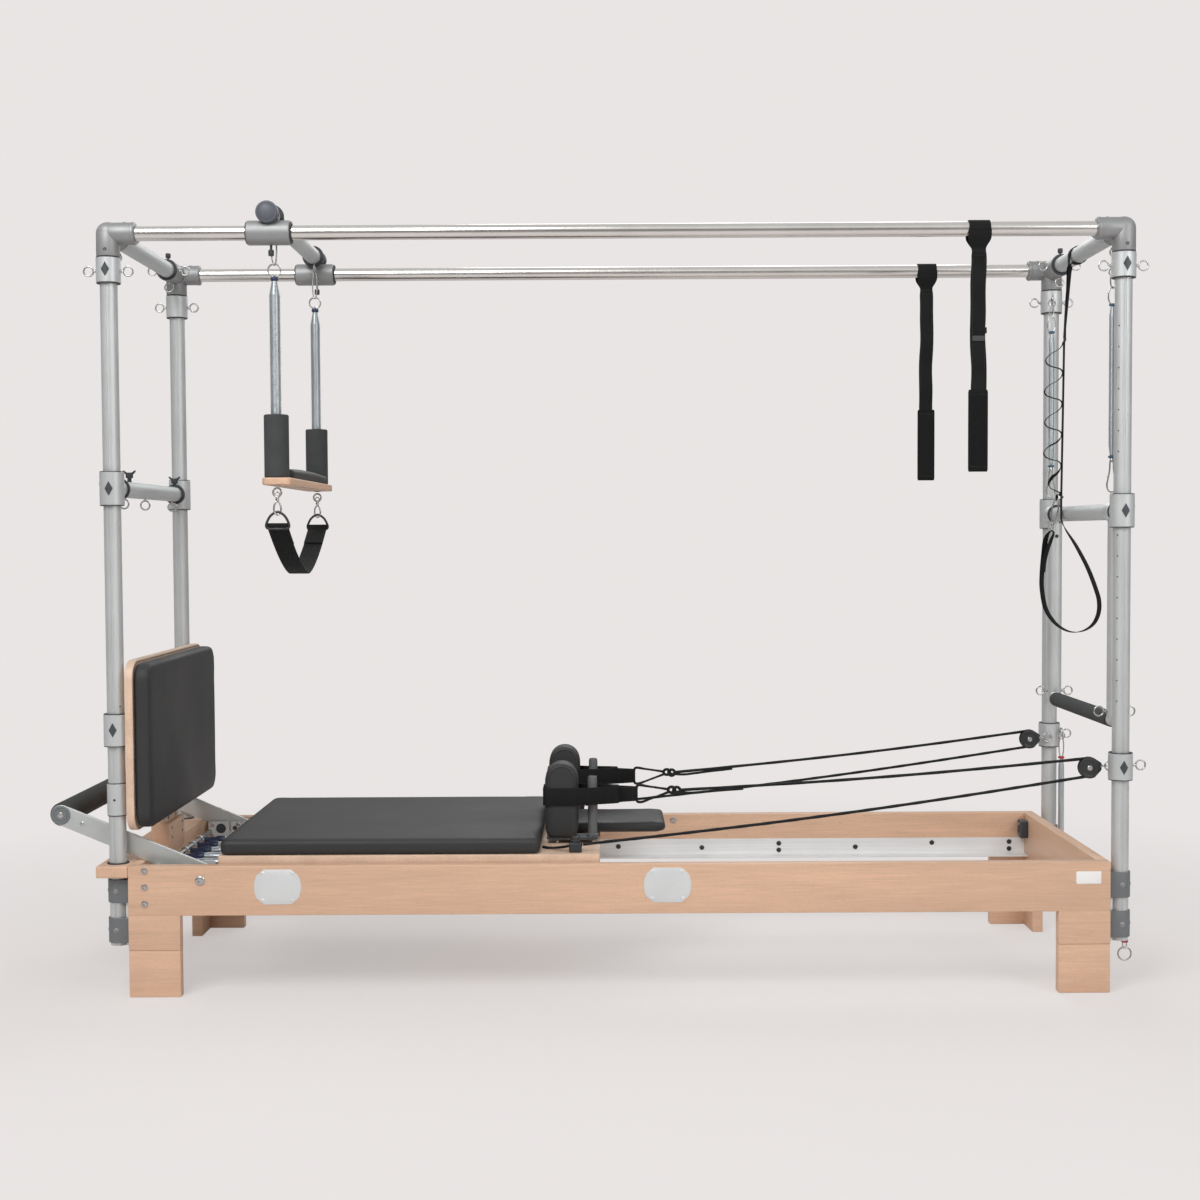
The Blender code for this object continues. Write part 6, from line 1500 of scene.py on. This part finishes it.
def swing_padding():
    x = SWING_X
    for side in BOTH:
        y = side * SWING_Y
        form = Shape()
        washer(form, [(0.0146, 0.0), (0.028, 0.0), (0.03, 0.0022), (0.03, 0.1495), (0.028, 0.152), (0.0146, 0.152)],
               (x, y, 1.2503), Z, 52)
        piece(f"{SIDES[side]}_swing_sleeve", form, "foam", "swing")
    form = Shape()
    slab(form, (-0.854, -0.2545), (-0.79, 0.2545), 0.016, 6, 1.2503, 1.27, 0.007, 4)
    seat_pad = piece("swing_cushion", form, "vinyl", "swing", "swing_padding")
    finer = bmesh.new()
    finer.from_mesh(seat_pad.data)
    cuts = [((0, cut, 0), Y) for cut in (0, *np.linspace(-0.23, 0.23, 22))]
    cuts += [((x + SHIFT + cut, 0, 0), X) for cut in np.linspace(-0.022, 0.022, 9)]
    for place, way in cuts:
        everything = finer.verts[:] + finer.edges[:] + finer.faces[:]
        bmesh.ops.bisect_plane(finer, geom=everything, plane_co=place, plane_no=way)
    for v in finer.verts:
        crown = max(0.0, 1 - (v.co.y / 0.262) ** 2) * max(0.0, 1 - 0.55 * ((v.co.x - x - SHIFT) / 0.032) ** 2)
        if v.co.z > 1.26:
            v.co.z += 0.0095 * crown * (v.co.z - 1.26) / 0.01
    finer.to_mesh(seat_pad.data)
    finer.free()
    seat_pad.data.shade_smooth()


def swing_strap():
    """The hanging foot strap, its ends folded back over the two loops and sewn down."""
    drop, wide, fold, edge = 0.118, 0.05, 0.0046, 0.021
    section = rounded(wide, 0.0032, 0.0006, 2)

    def height(y):
        return 1.012 + drop * abs(y / SWING_Y) ** 1.5

    def above(side, t, lift):
        """A point over the strap, t along it from its end."""
        y = side * (SWING_Y - t * 0.86)
        level = unit((0.0, 1.0, 1.5 * drop / SWING_Y * sqrt(abs(y / SWING_Y))))
        up = np.array((0.0, -side * level[2], level[1]))
        return np.array((SWING_X, y, height(y))) + up * lift, up

    line = [(SWING_X, y, height(y)) for y in SWING_Y * np.sin(pi / 2 * np.linspace(-1, 1, 65))]
    strip, seams = shapes(2)
    sweep(strip, line, section, across=X)
    for side in BOTH:
        slope = unit((0.0, 1.0, 1.5 * drop / SWING_Y)) * np.array([1, side, 1])
        out = np.array([0.0, slope[2] * side, -abs(slope[1])])
        end = np.array((SWING_X, side * SWING_Y, height(SWING_Y)))
        wrap = [end + slope * fold * sin(a) - out * fold * (1 - cos(a)) for a in np.linspace(0, pi, 14)]
        for t in np.linspace(0, 0.088, 16)[1:]:
            share = min(1.0, t / 0.02)
            wrap.append(above(side, t, 0.0092 * (1 - share) + 0.0036 * share)[0])
        sweep(strip, wrap, section, across=X)
        for t in (0.022, 0.08):
            base, up = above(side, t, 0.0052)
            stitches(seams, [base + np.array((out, 0, 0)) for out in (-edge, edge)], up)
        for out in (-edge, edge):
            points = [above(side, t, 0.0052)[0] + np.array((out, 0, 0)) for t in np.linspace(0.022, 0.08, 6)]
            stitches(seams, points, above(side, 0.08, 0.0052)[1])
    item = piece("swing_webbing", strip, "webbing", "swing_loop", "swing_strap")
    piece("swing_stitching", seams, "thread", "swing_loop")


footbar()
jumpboard()
trapeze()
swing()
swing_padding()
swing_strap()


# Straps
def top_straps():
    x = STRAP_X
    for side in BOTH:
        name, y = SIDES[side], side * POST_Y
        reach = RAIL_R + 0.0024
        front, seams, cuff, hem = shapes(4)
        rise = [(0.003, 1.447), (0.0024, 1.52), (0.0022, 1.64), (0.0024, 1.755), (0.0035, 1.786)]
        opening = [(0.0035, 1.7885), (0.01, 1.802), (0.0175, 1.8185)]
        line = list(smooth([(x, y - out, z) for out, z in rise], 6))
        line += list(smooth([(x, y - out, z) for out, z in opening], 4))
        line += [(x, y + reach * sin(a), TOP_Z - reach * cos(a)) for a in fan(-66, -294, 30)]
        line += list(smooth([(x, y + out, z) for out, z in opening[::-1]], 4))
        line += list(smooth([(x, y + out, z) for out, z in rise[::-1]], 6))
        line = spread(line, 1e-4)
        hang = [min(1.0, (1.8 - p[2]) / 0.06) if p[2] < 1.8 else 0.0 for p in line]
        line = [(p[0] + h * (0.0016 * sin(p[2] * 19 + side) + 0.0008 * sin(p[2] * 47)),
                 p[1] + h * 0.0006 * sin(p[2] * 33 - side), p[2]) for p, h in zip(line, hang)]
        wide = 0.036
        scales = []
        for p in line:
            share = min(1.0, max(0.0, (p[2] - 1.786) / 0.026))
            flare = 0.52 * share * share * (3 - 2 * share) - 0.1 * min(1.0, max(0.0, (p[2] - 1.826) / 0.01))
            pinch = 0.1 * exp(-((p[2] - 1.783) / 0.01) ** 2)
            scales.append((1.0 + flare - pinch + 0.012 * sin(p[2] * 71 + side), 1.0))
        sweep(front, line, rounded(wide, 0.0026, 0.0006, 2), across=X, scales=scales)
        item = piece(f"{name}_top_webbing", front, "webbing", f"{name}_strap_body", f"{name}_top_strap")
        for z in (1.78, 1.77):
            for out in (-1, 1):
                stitches(seams, [(x - 0.0155, y + out * 0.005, z), (x + 0.0155, y + out * 0.005, z)], (0, out, 0))
        for px in (-0.015, 0.015):
            for out in (-1, 1):
                stitches(seams, [(x + px, y + out * 0.0038, 1.5), (x + px, y + out * 0.0038, 1.765)], (0, out, 0),
                         0.0042)
        piece(f"{name}_top_stitching", seams, "thread", f"{name}_strap_body")
        if side == NEAR:
            keeper = Shape()
            sweep(keeper, [(x, y, 1.585), (x, y, 1.599)], rounded(0.04, 0.0076, 0.0022, 3), across=X)
            patch = Shape()
            slab(patch, (x - 0.015, 1.5665), (x + 0.015, 1.579), 0.001, 2, y - 0.0046, y - 0.0038, 0.0002, axis="y")
            piece("near_top_keeper", keeper, "webbing", "near_strap_body")
            piece("near_top_patch", patch, "thread", "near_strap_body")
        low, high = 1.2543, 1.4503
        rows = 46
        section = rounded(0.046, 0.015, 0.006, 4)
        scales, path = [], []
        for i in range(rows + 1):
            t = i / rows
            end = min(t, 1 - t) * (high - low)
            share = min(1.0, 0.62 + 0.38 * sqrt(min(1.0, end / 0.01)))
            ripple = 1 + 0.018 * sin(t * 9.0 + side) * min(1.0, end / 0.02)
            path.append((x, y, low + t * (high - low)))
            scales.append((min(1.0, 0.93 + 0.07 * share), share * ripple))
        sweep(cuff, path, section, across=X, scales=scales)
        padded_cuff = piece(f"{name}_top_cuff", cuff, "padded_webbing", f"{name}_strap_body", crease=60)
        for px in (-0.0222, 0.0222):
            sweep(hem, smooth([(x + px, y, low + 0.004), (x + px * 1.005, y, (low + high) / 2),
                               (x + px, y, high - 0.004)], 8), circle(0.0016, 8))
        for z in (low + 0.012, high - 0.012):
            for out in (-1, 1):
                stitches(hem, [(x - 0.019, y + out * 0.0074, z), (x + 0.019, y + out * 0.0074, z)], (0, out, 0))
        piece(f"{name}_cuff_hem", hem, "thread", f"{name}_strap_body")


def faced(turned):
    """Ways across a strap that is turned so far about the upright from facing the side."""
    return [(sin(turn), cos(turn), 0) for turn in turned]


def in_sling(along, z):
    """A point of the upright plane that the sling hangs in, so far along it from the run."""
    return (SAFETY_X + 0.755 * along, SLING_Y - 0.656 * along, z)


def safety_wrap(shape):
    """The strap's turn round the crossbar, which twists over into the run below it."""
    x, reach = SAFETY_X, CROSS_R + 0.002
    line = [(POST_X + reach * cos(a), 0.064, TOP_Z + reach * sin(a)) for a in fan(188, -128, 44)]
    loop = len(line)
    line += list(smooth([(x + 0.004, 0.0655, TOP_Z - 0.024), (x + 0.0024, 0.068, TOP_Z - 0.036)]
                        + [(x + 0.0026, y, z) for y, z in ((0.0745, 1.78), (0.0895, 1.707), (0.105, 1.617))], 6))
    line = spread(line, 1e-4)
    past = [max(0, i - loop) for i in range(len(line))]
    turned = [1.15 * sin(pi * min(1.0, i / (len(line) - loop)) ** 0.6) for i in past]
    wider = [(1.4 - 0.4 * min(1.0, i / 8), 1.0) for i in past]
    sweep(shape, line, rounded(0.016, 0.0018, 0.0005, 2), across=faced(turned), scales=wider)
    return lengths(line)


def safety_run(shape):
    """The long front of the strap and the sling at its foot: point, turn and share of the width."""
    x = SAFETY_X
    front = [(x - 0.001, 0.064, TOP_Z + 0.004, 0.0, 1.0)]
    front += [(x, y, z, 0.0, 1.0) for y, z in ((0.066, 1.8), (0.0745, 1.765), (0.09, 1.707), (0.1, 1.65),
                                               (0.106, 1.615), (0.11, 1.53), (0.116, 1.4), (0.1215, 1.29),
                                               (SLING_Y, 1.2))]
    sling = ((0.0, 1.165, 0.0, 1.0), (0.0012, 1.14, 0.05, 1.0), (0.015, 1.112, 0.45, 1.0), (0.042, 1.073, 0.85, 1.0),
             (0.0755, 1.014, 1.0, 1.0), (0.1, 0.955, 1.02, 1.0), (0.1085, 0.923, 1.02, 1.0), (0.1065, 0.892, 1.02, 1.0),
             (0.093, 0.865, 1.0, 1.0), (0.069, 0.8475, 0.9, 1.0), (0.0395, 0.841, 0.8, 1.0), (0.01, 0.8475, 0.9, 1.0),
             (-0.02, 0.868, 1.0, 1.0), (-0.044, 0.904, 1.05, 1.0), (-0.0545, 0.956, 1.05, 1.0),
             (-0.0545, 1.0, 1.05, 1.0), (-0.05, 1.05, 1.08, 1.0), (-0.045, 1.085, 1.2, 1.0),
             (-0.0385, 1.102, 1.0, 0.8), (-0.0277, 1.1128, 0.72, 0.42), (-0.0215, 1.106, 0.76, 0.55),
             (-0.027, 1.09, 0.86, 0.9), (-0.0395, 1.06, 0.98, 1.0), (-0.048, 1.03, 1.05, 1.0),
             (-0.0512, 1.0, 1.05, 1.0))
    front += [(*in_sling(along, z), turn, wide) for along, z, turn, wide in sling]
    straight = smooth(front, 6)
    scales = [(wide, 1.0) for wide in straight[:, 4]]
    sweep(shape, straight[:, :3], rounded(0.0158, 0.0019, 0.0005, 2), across=faced(straight[:, 3]), scales=scales)
    return lengths(straight[:, :3])


def safety_gathers(shape):
    """The back layer, gathered into five loops that stand out from the run."""
    gathers = []
    for i, out in enumerate((0.045, 0.047, 0.045, 0.046, 0.031)):
        for down, share in ((0.02, 0.0), (0.15, 0.07), (0.28, 0.3), (0.42, 0.74), (0.6, 1.0), (0.75, 0.88),
                            (0.835, 0.52), (0.88, 0.2), (0.94, 0.05)):
            z = 1.614 - (i + down) * 0.0815
            y = float(np.interp(z, (1.2, 1.29, 1.4, 1.53, 1.615), (SLING_Y, 0.1215, 0.116, 0.11, 0.106)))
            turn = 0.1 + 0.5 * exp(-((i + down - 3.3) / 0.18) ** 2) + 0.85 * exp(-((i + down - 4.42) / 0.25) ** 2)
            gathers.append((SAFETY_X - 0.0028 - out * share, y, z, turn))
    gathers += [(SAFETY_X - 0.0034, 0.1275, 1.2095, 0.1), (SAFETY_X - 0.0075, 0.1325, 1.2082, 0.3)]
    wavy = smooth(gathers, 6)
    sweep(shape, wavy[:, :3], rounded(0.0135, 0.0017, 0.0005, 2), across=faced(wavy[:, 3]))
    return lengths(wavy[:, :3])


def safety_snap(clip):
    """An oval snap hook with its swivel eye down, drawn upright and then leaned in the sling's plane."""
    upright, hook = shapes(2)
    oval = 0.0655
    line = [(0.0088 * sin(a) * (1 + 0.12 * cos(a)), 0, -oval / 2 + (oval / 2 - 0.001) * cos(a)) for a in turns(28)]
    sweep(upright, line, circle(0.0021, 12), across=Y, closed=True)
    rod(upright, (0.009, 0, -0.042), (0.0104, 0, -0.042), 0.0022, 0.0006, 14)
    rod(upright, (0, 0, -oval), (0, 0, -oval - 0.009), 0.0036, 0.0008, 20)
    ring(upright, (0, 0, -oval - 0.015), X, 0.0078, 0.0016, 24, 10)
    x, y, z = np.concatenate(upright.points).T
    lean_x, lean_z = 0.9851 * x + 0.1718 * z, -0.1718 * x + 0.9851 * z
    return hook.add(clip + np.stack([0.755 * lean_x + 0.656 * y, -0.656 * lean_x + 0.755 * y, lean_z], axis=1),
                    upright.faces)


def safety_strap():
    webbing, rivets = shapes(2)
    total = safety_wrap(webbing) + safety_run(webbing) + safety_gathers(webbing)
    clip = np.array(in_sling(-0.0125, 1.197))
    tab = [clip + (0.656 * n, 0.755 * n, z) for n, z in ((0.0036 * sin(a), 0.003 + 0.0078 * cos(a))
                                                         for a in turns(24))]
    sweep(webbing, tab, rounded(0.0042, 0.0013, 0.0004, 2), across=(0.755, -0.656, 0), closed=True)
    for z, y in ((1.617, 0.106), (1.2015, 0.1257)):
        for x, out in ((SAFETY_X - 0.0009, -1), (SAFETY_X + 0.004, 1)):
            lathe(rivets, [(0, 0), (0.004, 0), (0.004, 0.0006), (0.0028, 0.0015), (0, 0.0019)], (x, y, z),
                  (out, 0, 0), 24)
    item = piece("safety_webbing", webbing, "webbing", "safety_body", "safety_strap")
    piece("safety_rivets", rivets, "chrome", "safety_body")
    piece("safety_snap", safety_snap(clip), "chrome", "safety_body")


# Ropes and springs
def hung(start, end, sag, count):
    """The points after the start of a rope that sags between two ends."""
    points = [start + (end - start) * t - (0, 0, sag * sin(pi * t)) for t in np.linspace(0, 1, count)[1:]]
    return [tuple(p) for p in points]


def rope_path(side, knot):
    """From the rope lock to the pulley's low side, round its wheel, and back to the foot strap's knot."""
    px, py, pz = PULLEY[0], side * PULLEY[1], PULLEY[2]
    groove = 0.0228
    lock = np.array((-0.0868, side * 0.3, 0.353))
    line = [tuple(lock)] + hung(lock, np.array((1.133, py, 0.5093)), 0.01, 90)
    line += [(px + groove * cos(a), py, pz + groove * sin(a)) for a in fan(-90, 90, 22)]
    return line + hung(np.array((px, py, pz + groove)), knot + (0.012, 0, 0.0), 0.007, 76)


def rope_knot(name, side, knot, line):
    """The knot at the foot strap, its tail in a sleeve, and the rope's two legs round the strap's end."""
    bow = Shape()
    for way_x in (-1, 1):
        bend = [knot + np.array((0.001 + way_x * 0.0066 + 0.0086 * cos(a), way_x * 0.003 * sin(a),
                                 0.0078 * sin(a) - way_x * 0.0008)) for a in turns(32)]
        sweep(bow, bend, circle(0.0038, 12), across=Y, closed=True)
    way, origin = unit(np.subtract(line[-14], line[-2])), np.array(line[-2])
    tail = [knot + (0.004, 0, -0.004)]
    tail += [origin + way * far + (0, side * 0.001, -drop)
             for far, drop in ((0.014, 0.0085), (0.045, 0.0082), (0.09, 0.0066), (0.15, 0.0056))]
    sweep(bow, smooth(tail, 7), circle(0.0034, 10))
    sleeve = [origin + way * far + (0, side * 0.0005, -drop) for far, drop in ((0.098, 0.0034), (0.128, 0.0032))]
    sweep(bow, sleeve, rounded(0.0068, 0.0124, 0.003, 4), across=Y)
    for up in (-1, 1):
        leg = [(LOOP_X + out, knot[1], LOOP_Z + up * rise)
               for out, rise in ((0.001, 0), (0.0012, 0.014), (0.0042, 0.0208), (0.014, 0.0212))]
        leg += [tuple(knot * (1 - t) + np.array((LOOP_X + 0.019, knot[1], LOOP_Z + up * 0.02)) * t)
                for t in (0.92, 0.6, 0.3, 0.16)]
        sweep(bow, smooth(leg, 6), circle(0.0034, 12, 4, 0.06), twist=480.0)
    piece(f"{name}_rope_knot", bow, "rope", "carriage")


def foot_strap(name, side, knot):
    """Webbing round a shoulder rest, sewn together where the rope passes through its end."""
    wrap, seams = shapes(2)
    wide, reach_x, reach_y, bend, cx, cy = 0.043, 0.0453, 0.043, 0.012, REST_X, side * REST_Y
    out_y, back_y = (0.02, 0.009) if side > 0 else (0.021, 0.008)
    path = [(LOOP_X - 0.001, knot[1] + 0.0022), (LOOP_X - 0.06, knot[1] + 0.0026), (0.0, cy + out_y)]
    path += [(cx + reach_x + 0.02, cy + reach_y - 0.009), (cx + reach_x - 0.006, cy + reach_y - 0.001),
             (cx + 0.02, cy + reach_y), (cx - 0.02, cy + reach_y)]
    path += arc((cx - reach_x + bend, cy + reach_y - bend), bend, 90, 180, 5)
    path += arc((cx - reach_x + bend, cy - reach_y + bend), bend, 180, 270, 5)
    path += [(cx - 0.02, cy - reach_y), (cx + 0.02, cy - reach_y), (cx + reach_x - 0.006, cy - reach_y + 0.001),
             (cx + reach_x + 0.02, cy - reach_y + 0.009)]
    path += [(0.0, cy - back_y), (LOOP_X - 0.06, knot[1] - 0.0026), (LOOP_X - 0.001, knot[1] - 0.0022)]
    strip = spread([(a, b, LOOP_Z) for a, b in smooth(path, 5)], 2e-4)
    total, done, scales = lengths(strip), 0.0, []
    for before, p in zip(strip[:1] + strip, strip):
        done += gap(p, before)
        scales.append((min(1.0, 0.86 + 0.14 * min(done, total - done) / 0.05), 1.0))
    sweep(wrap, strip, rounded(wide, 0.0026, 0.0008, 2), across=Z, scales=scales)
    item = piece(f"{name}_foot_webbing", wrap, "webbing", "carriage")
    for out in (-1, 1):
        y = knot[1] + out * 0.0044
        for px in (LOOP_X - 0.008, LOOP_X - 0.04):
            stitches(seams, [(px, y, LOOP_Z - 0.016), (px, y, LOOP_Z + 0.016)], (0, out, 0))
        for dz in (-0.0165, 0.0165):
            stitches(seams, [(LOOP_X - 0.04, y, LOOP_Z + dz), (LOOP_X - 0.008, y, LOOP_Z + dz)], (0, out, 0))
    piece(f"{name}_foot_stitching", seams, "thread", "carriage")


def ropes():
    for side in BOTH:
        name = SIDES[side]
        knot = np.array((0.141, side * 0.157, 0.463))
        line = rope_path(side, knot)
        form, tail = shapes(2)
        sweep(form, line, circle(0.0037, 12, 4, 0.07), twist=480.0)
        item = piece(f"{name}_rope_line", form, "rope", None, f"{name}_rope")
        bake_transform(item)
        rope_knot(name, side, knot, line)
        wander = [(x, side * y, z) for x, y, z in ((-0.118, 0.3, 0.35), (-0.13, 0.296, 0.347),
                                                   (-0.15, 0.28, 0.3415), (-0.175, 0.262, 0.3382),
                                                   (-0.186, 0.25, 0.338))]
        sweep(tail, smooth(wander, 7), circle(0.0034, 12, 4, 0.06), twist=480.0)
        piece(f"{name}_rope_tail", tail, "rope", "carriage")
        foot_strap(name, side, knot)


def hung_springs():
    for side in BOTH:
        name = SIDES[side]
        for kind, (x, y, eye_z), low, top, radius, look in (
                ("arm", ARM_SPRING, 1.2873, 1.6605, 0.0086, "teal"),
                ("leg", LEG_SPRING, 0.102, 0.484, 0.0085, "red")):
            y = side * y
            windings, bands, links = shapes(3)
            coil(windings, (x, y, low + 0.0055), (x, y, top - 0.0055), radius, 0.0022, 16, (0.62, 0.62), 0.024)
            r = radius + 0.0006
            for rim, way in ((top, -1), (low, 1)):
                lathe(bands, [(0, 0), (r - 0.0022, 0), (r - 0.0006, 0.0012), (r - 0.0006, 0.0052),
                              (r - 0.0022, 0.006), (0, 0.006)], (x, y, rim), (0, 0, way), 32)
                lathe(windings, [(0, 0.005), (r - 0.0062, 0.005), (r - 0.005, 0.013), (r - 0.004, 0.022),
                                 (0, 0.024)], (x, y, rim), (0, 0, way), 32)
            hook_top = eye_z - 0.015
            if kind == "arm":
                loops = ((0.0108, top - 0.003, top + 0.04), (0.0058, top + 0.037, hook_top + 0.005))
            else:
                loops = ((0.0064, top - 0.004, hook_top + 0.004),)
            for wide, foot_z, head_z in loops:
                tall = (head_z - foot_z) / 2
                link(links, (x, y, foot_z + tall), wide, tall, 0.0017)
            ring(links, (x, y, eye_z - 0.0105), (0, 1, 0.1), 0.0095, 0.0015, 28, 10)
            if kind == "arm":
                pear = [(x + w, y, low - d) for w, d in ((0.0, -0.004), (0.004, 0.01), (0.005, 0.03),
                                                         (0.0092, 0.052), (0.0114, 0.066), (0.008, 0.0785),
                                                         (0, 0.0825))]
                pear += [(x - w, y, low - d) for w, d in ((0.008, 0.0785), (0.0114, 0.066), (0.0092, 0.052),
                                                          (0.005, 0.03), (0.004, 0.01))]
                sweep(links, smooth(pear, 5, closed=True), circle(0.0019, 12), across=Y, closed=True)
                rod(links, (x - 0.0068, y, low - 0.044), (x - 0.0112, y, low - 0.046), 0.0022, 0.0006, 14)
                lathe(links, [(0, 0), (0.0046, 0), (0.0046, 0.01), (0.003, 0.013), (0, 0.013)], (x, y, low - 0.01),
                      Z, 24)
            else:
                ring(links, (x, y, 0.074), Y, 0.016, 0.0019, 40, 12)
                link(links, (x, y, low - 0.0045), 0.0048, 0.0105, 0.0016, 10, 20)
            body = f"{name}_{kind}_body"
            piece(f"{name}_{kind}_coil", windings, "zinc", body, f"{name}_{kind}_spring")
            piece(f"{name}_{kind}_bands", bands, look, body, slot="spring_steel")
            piece(f"{name}_{kind}_links", links, "chrome", body)


top_straps()
safety_strap()
ropes()
hung_springs()
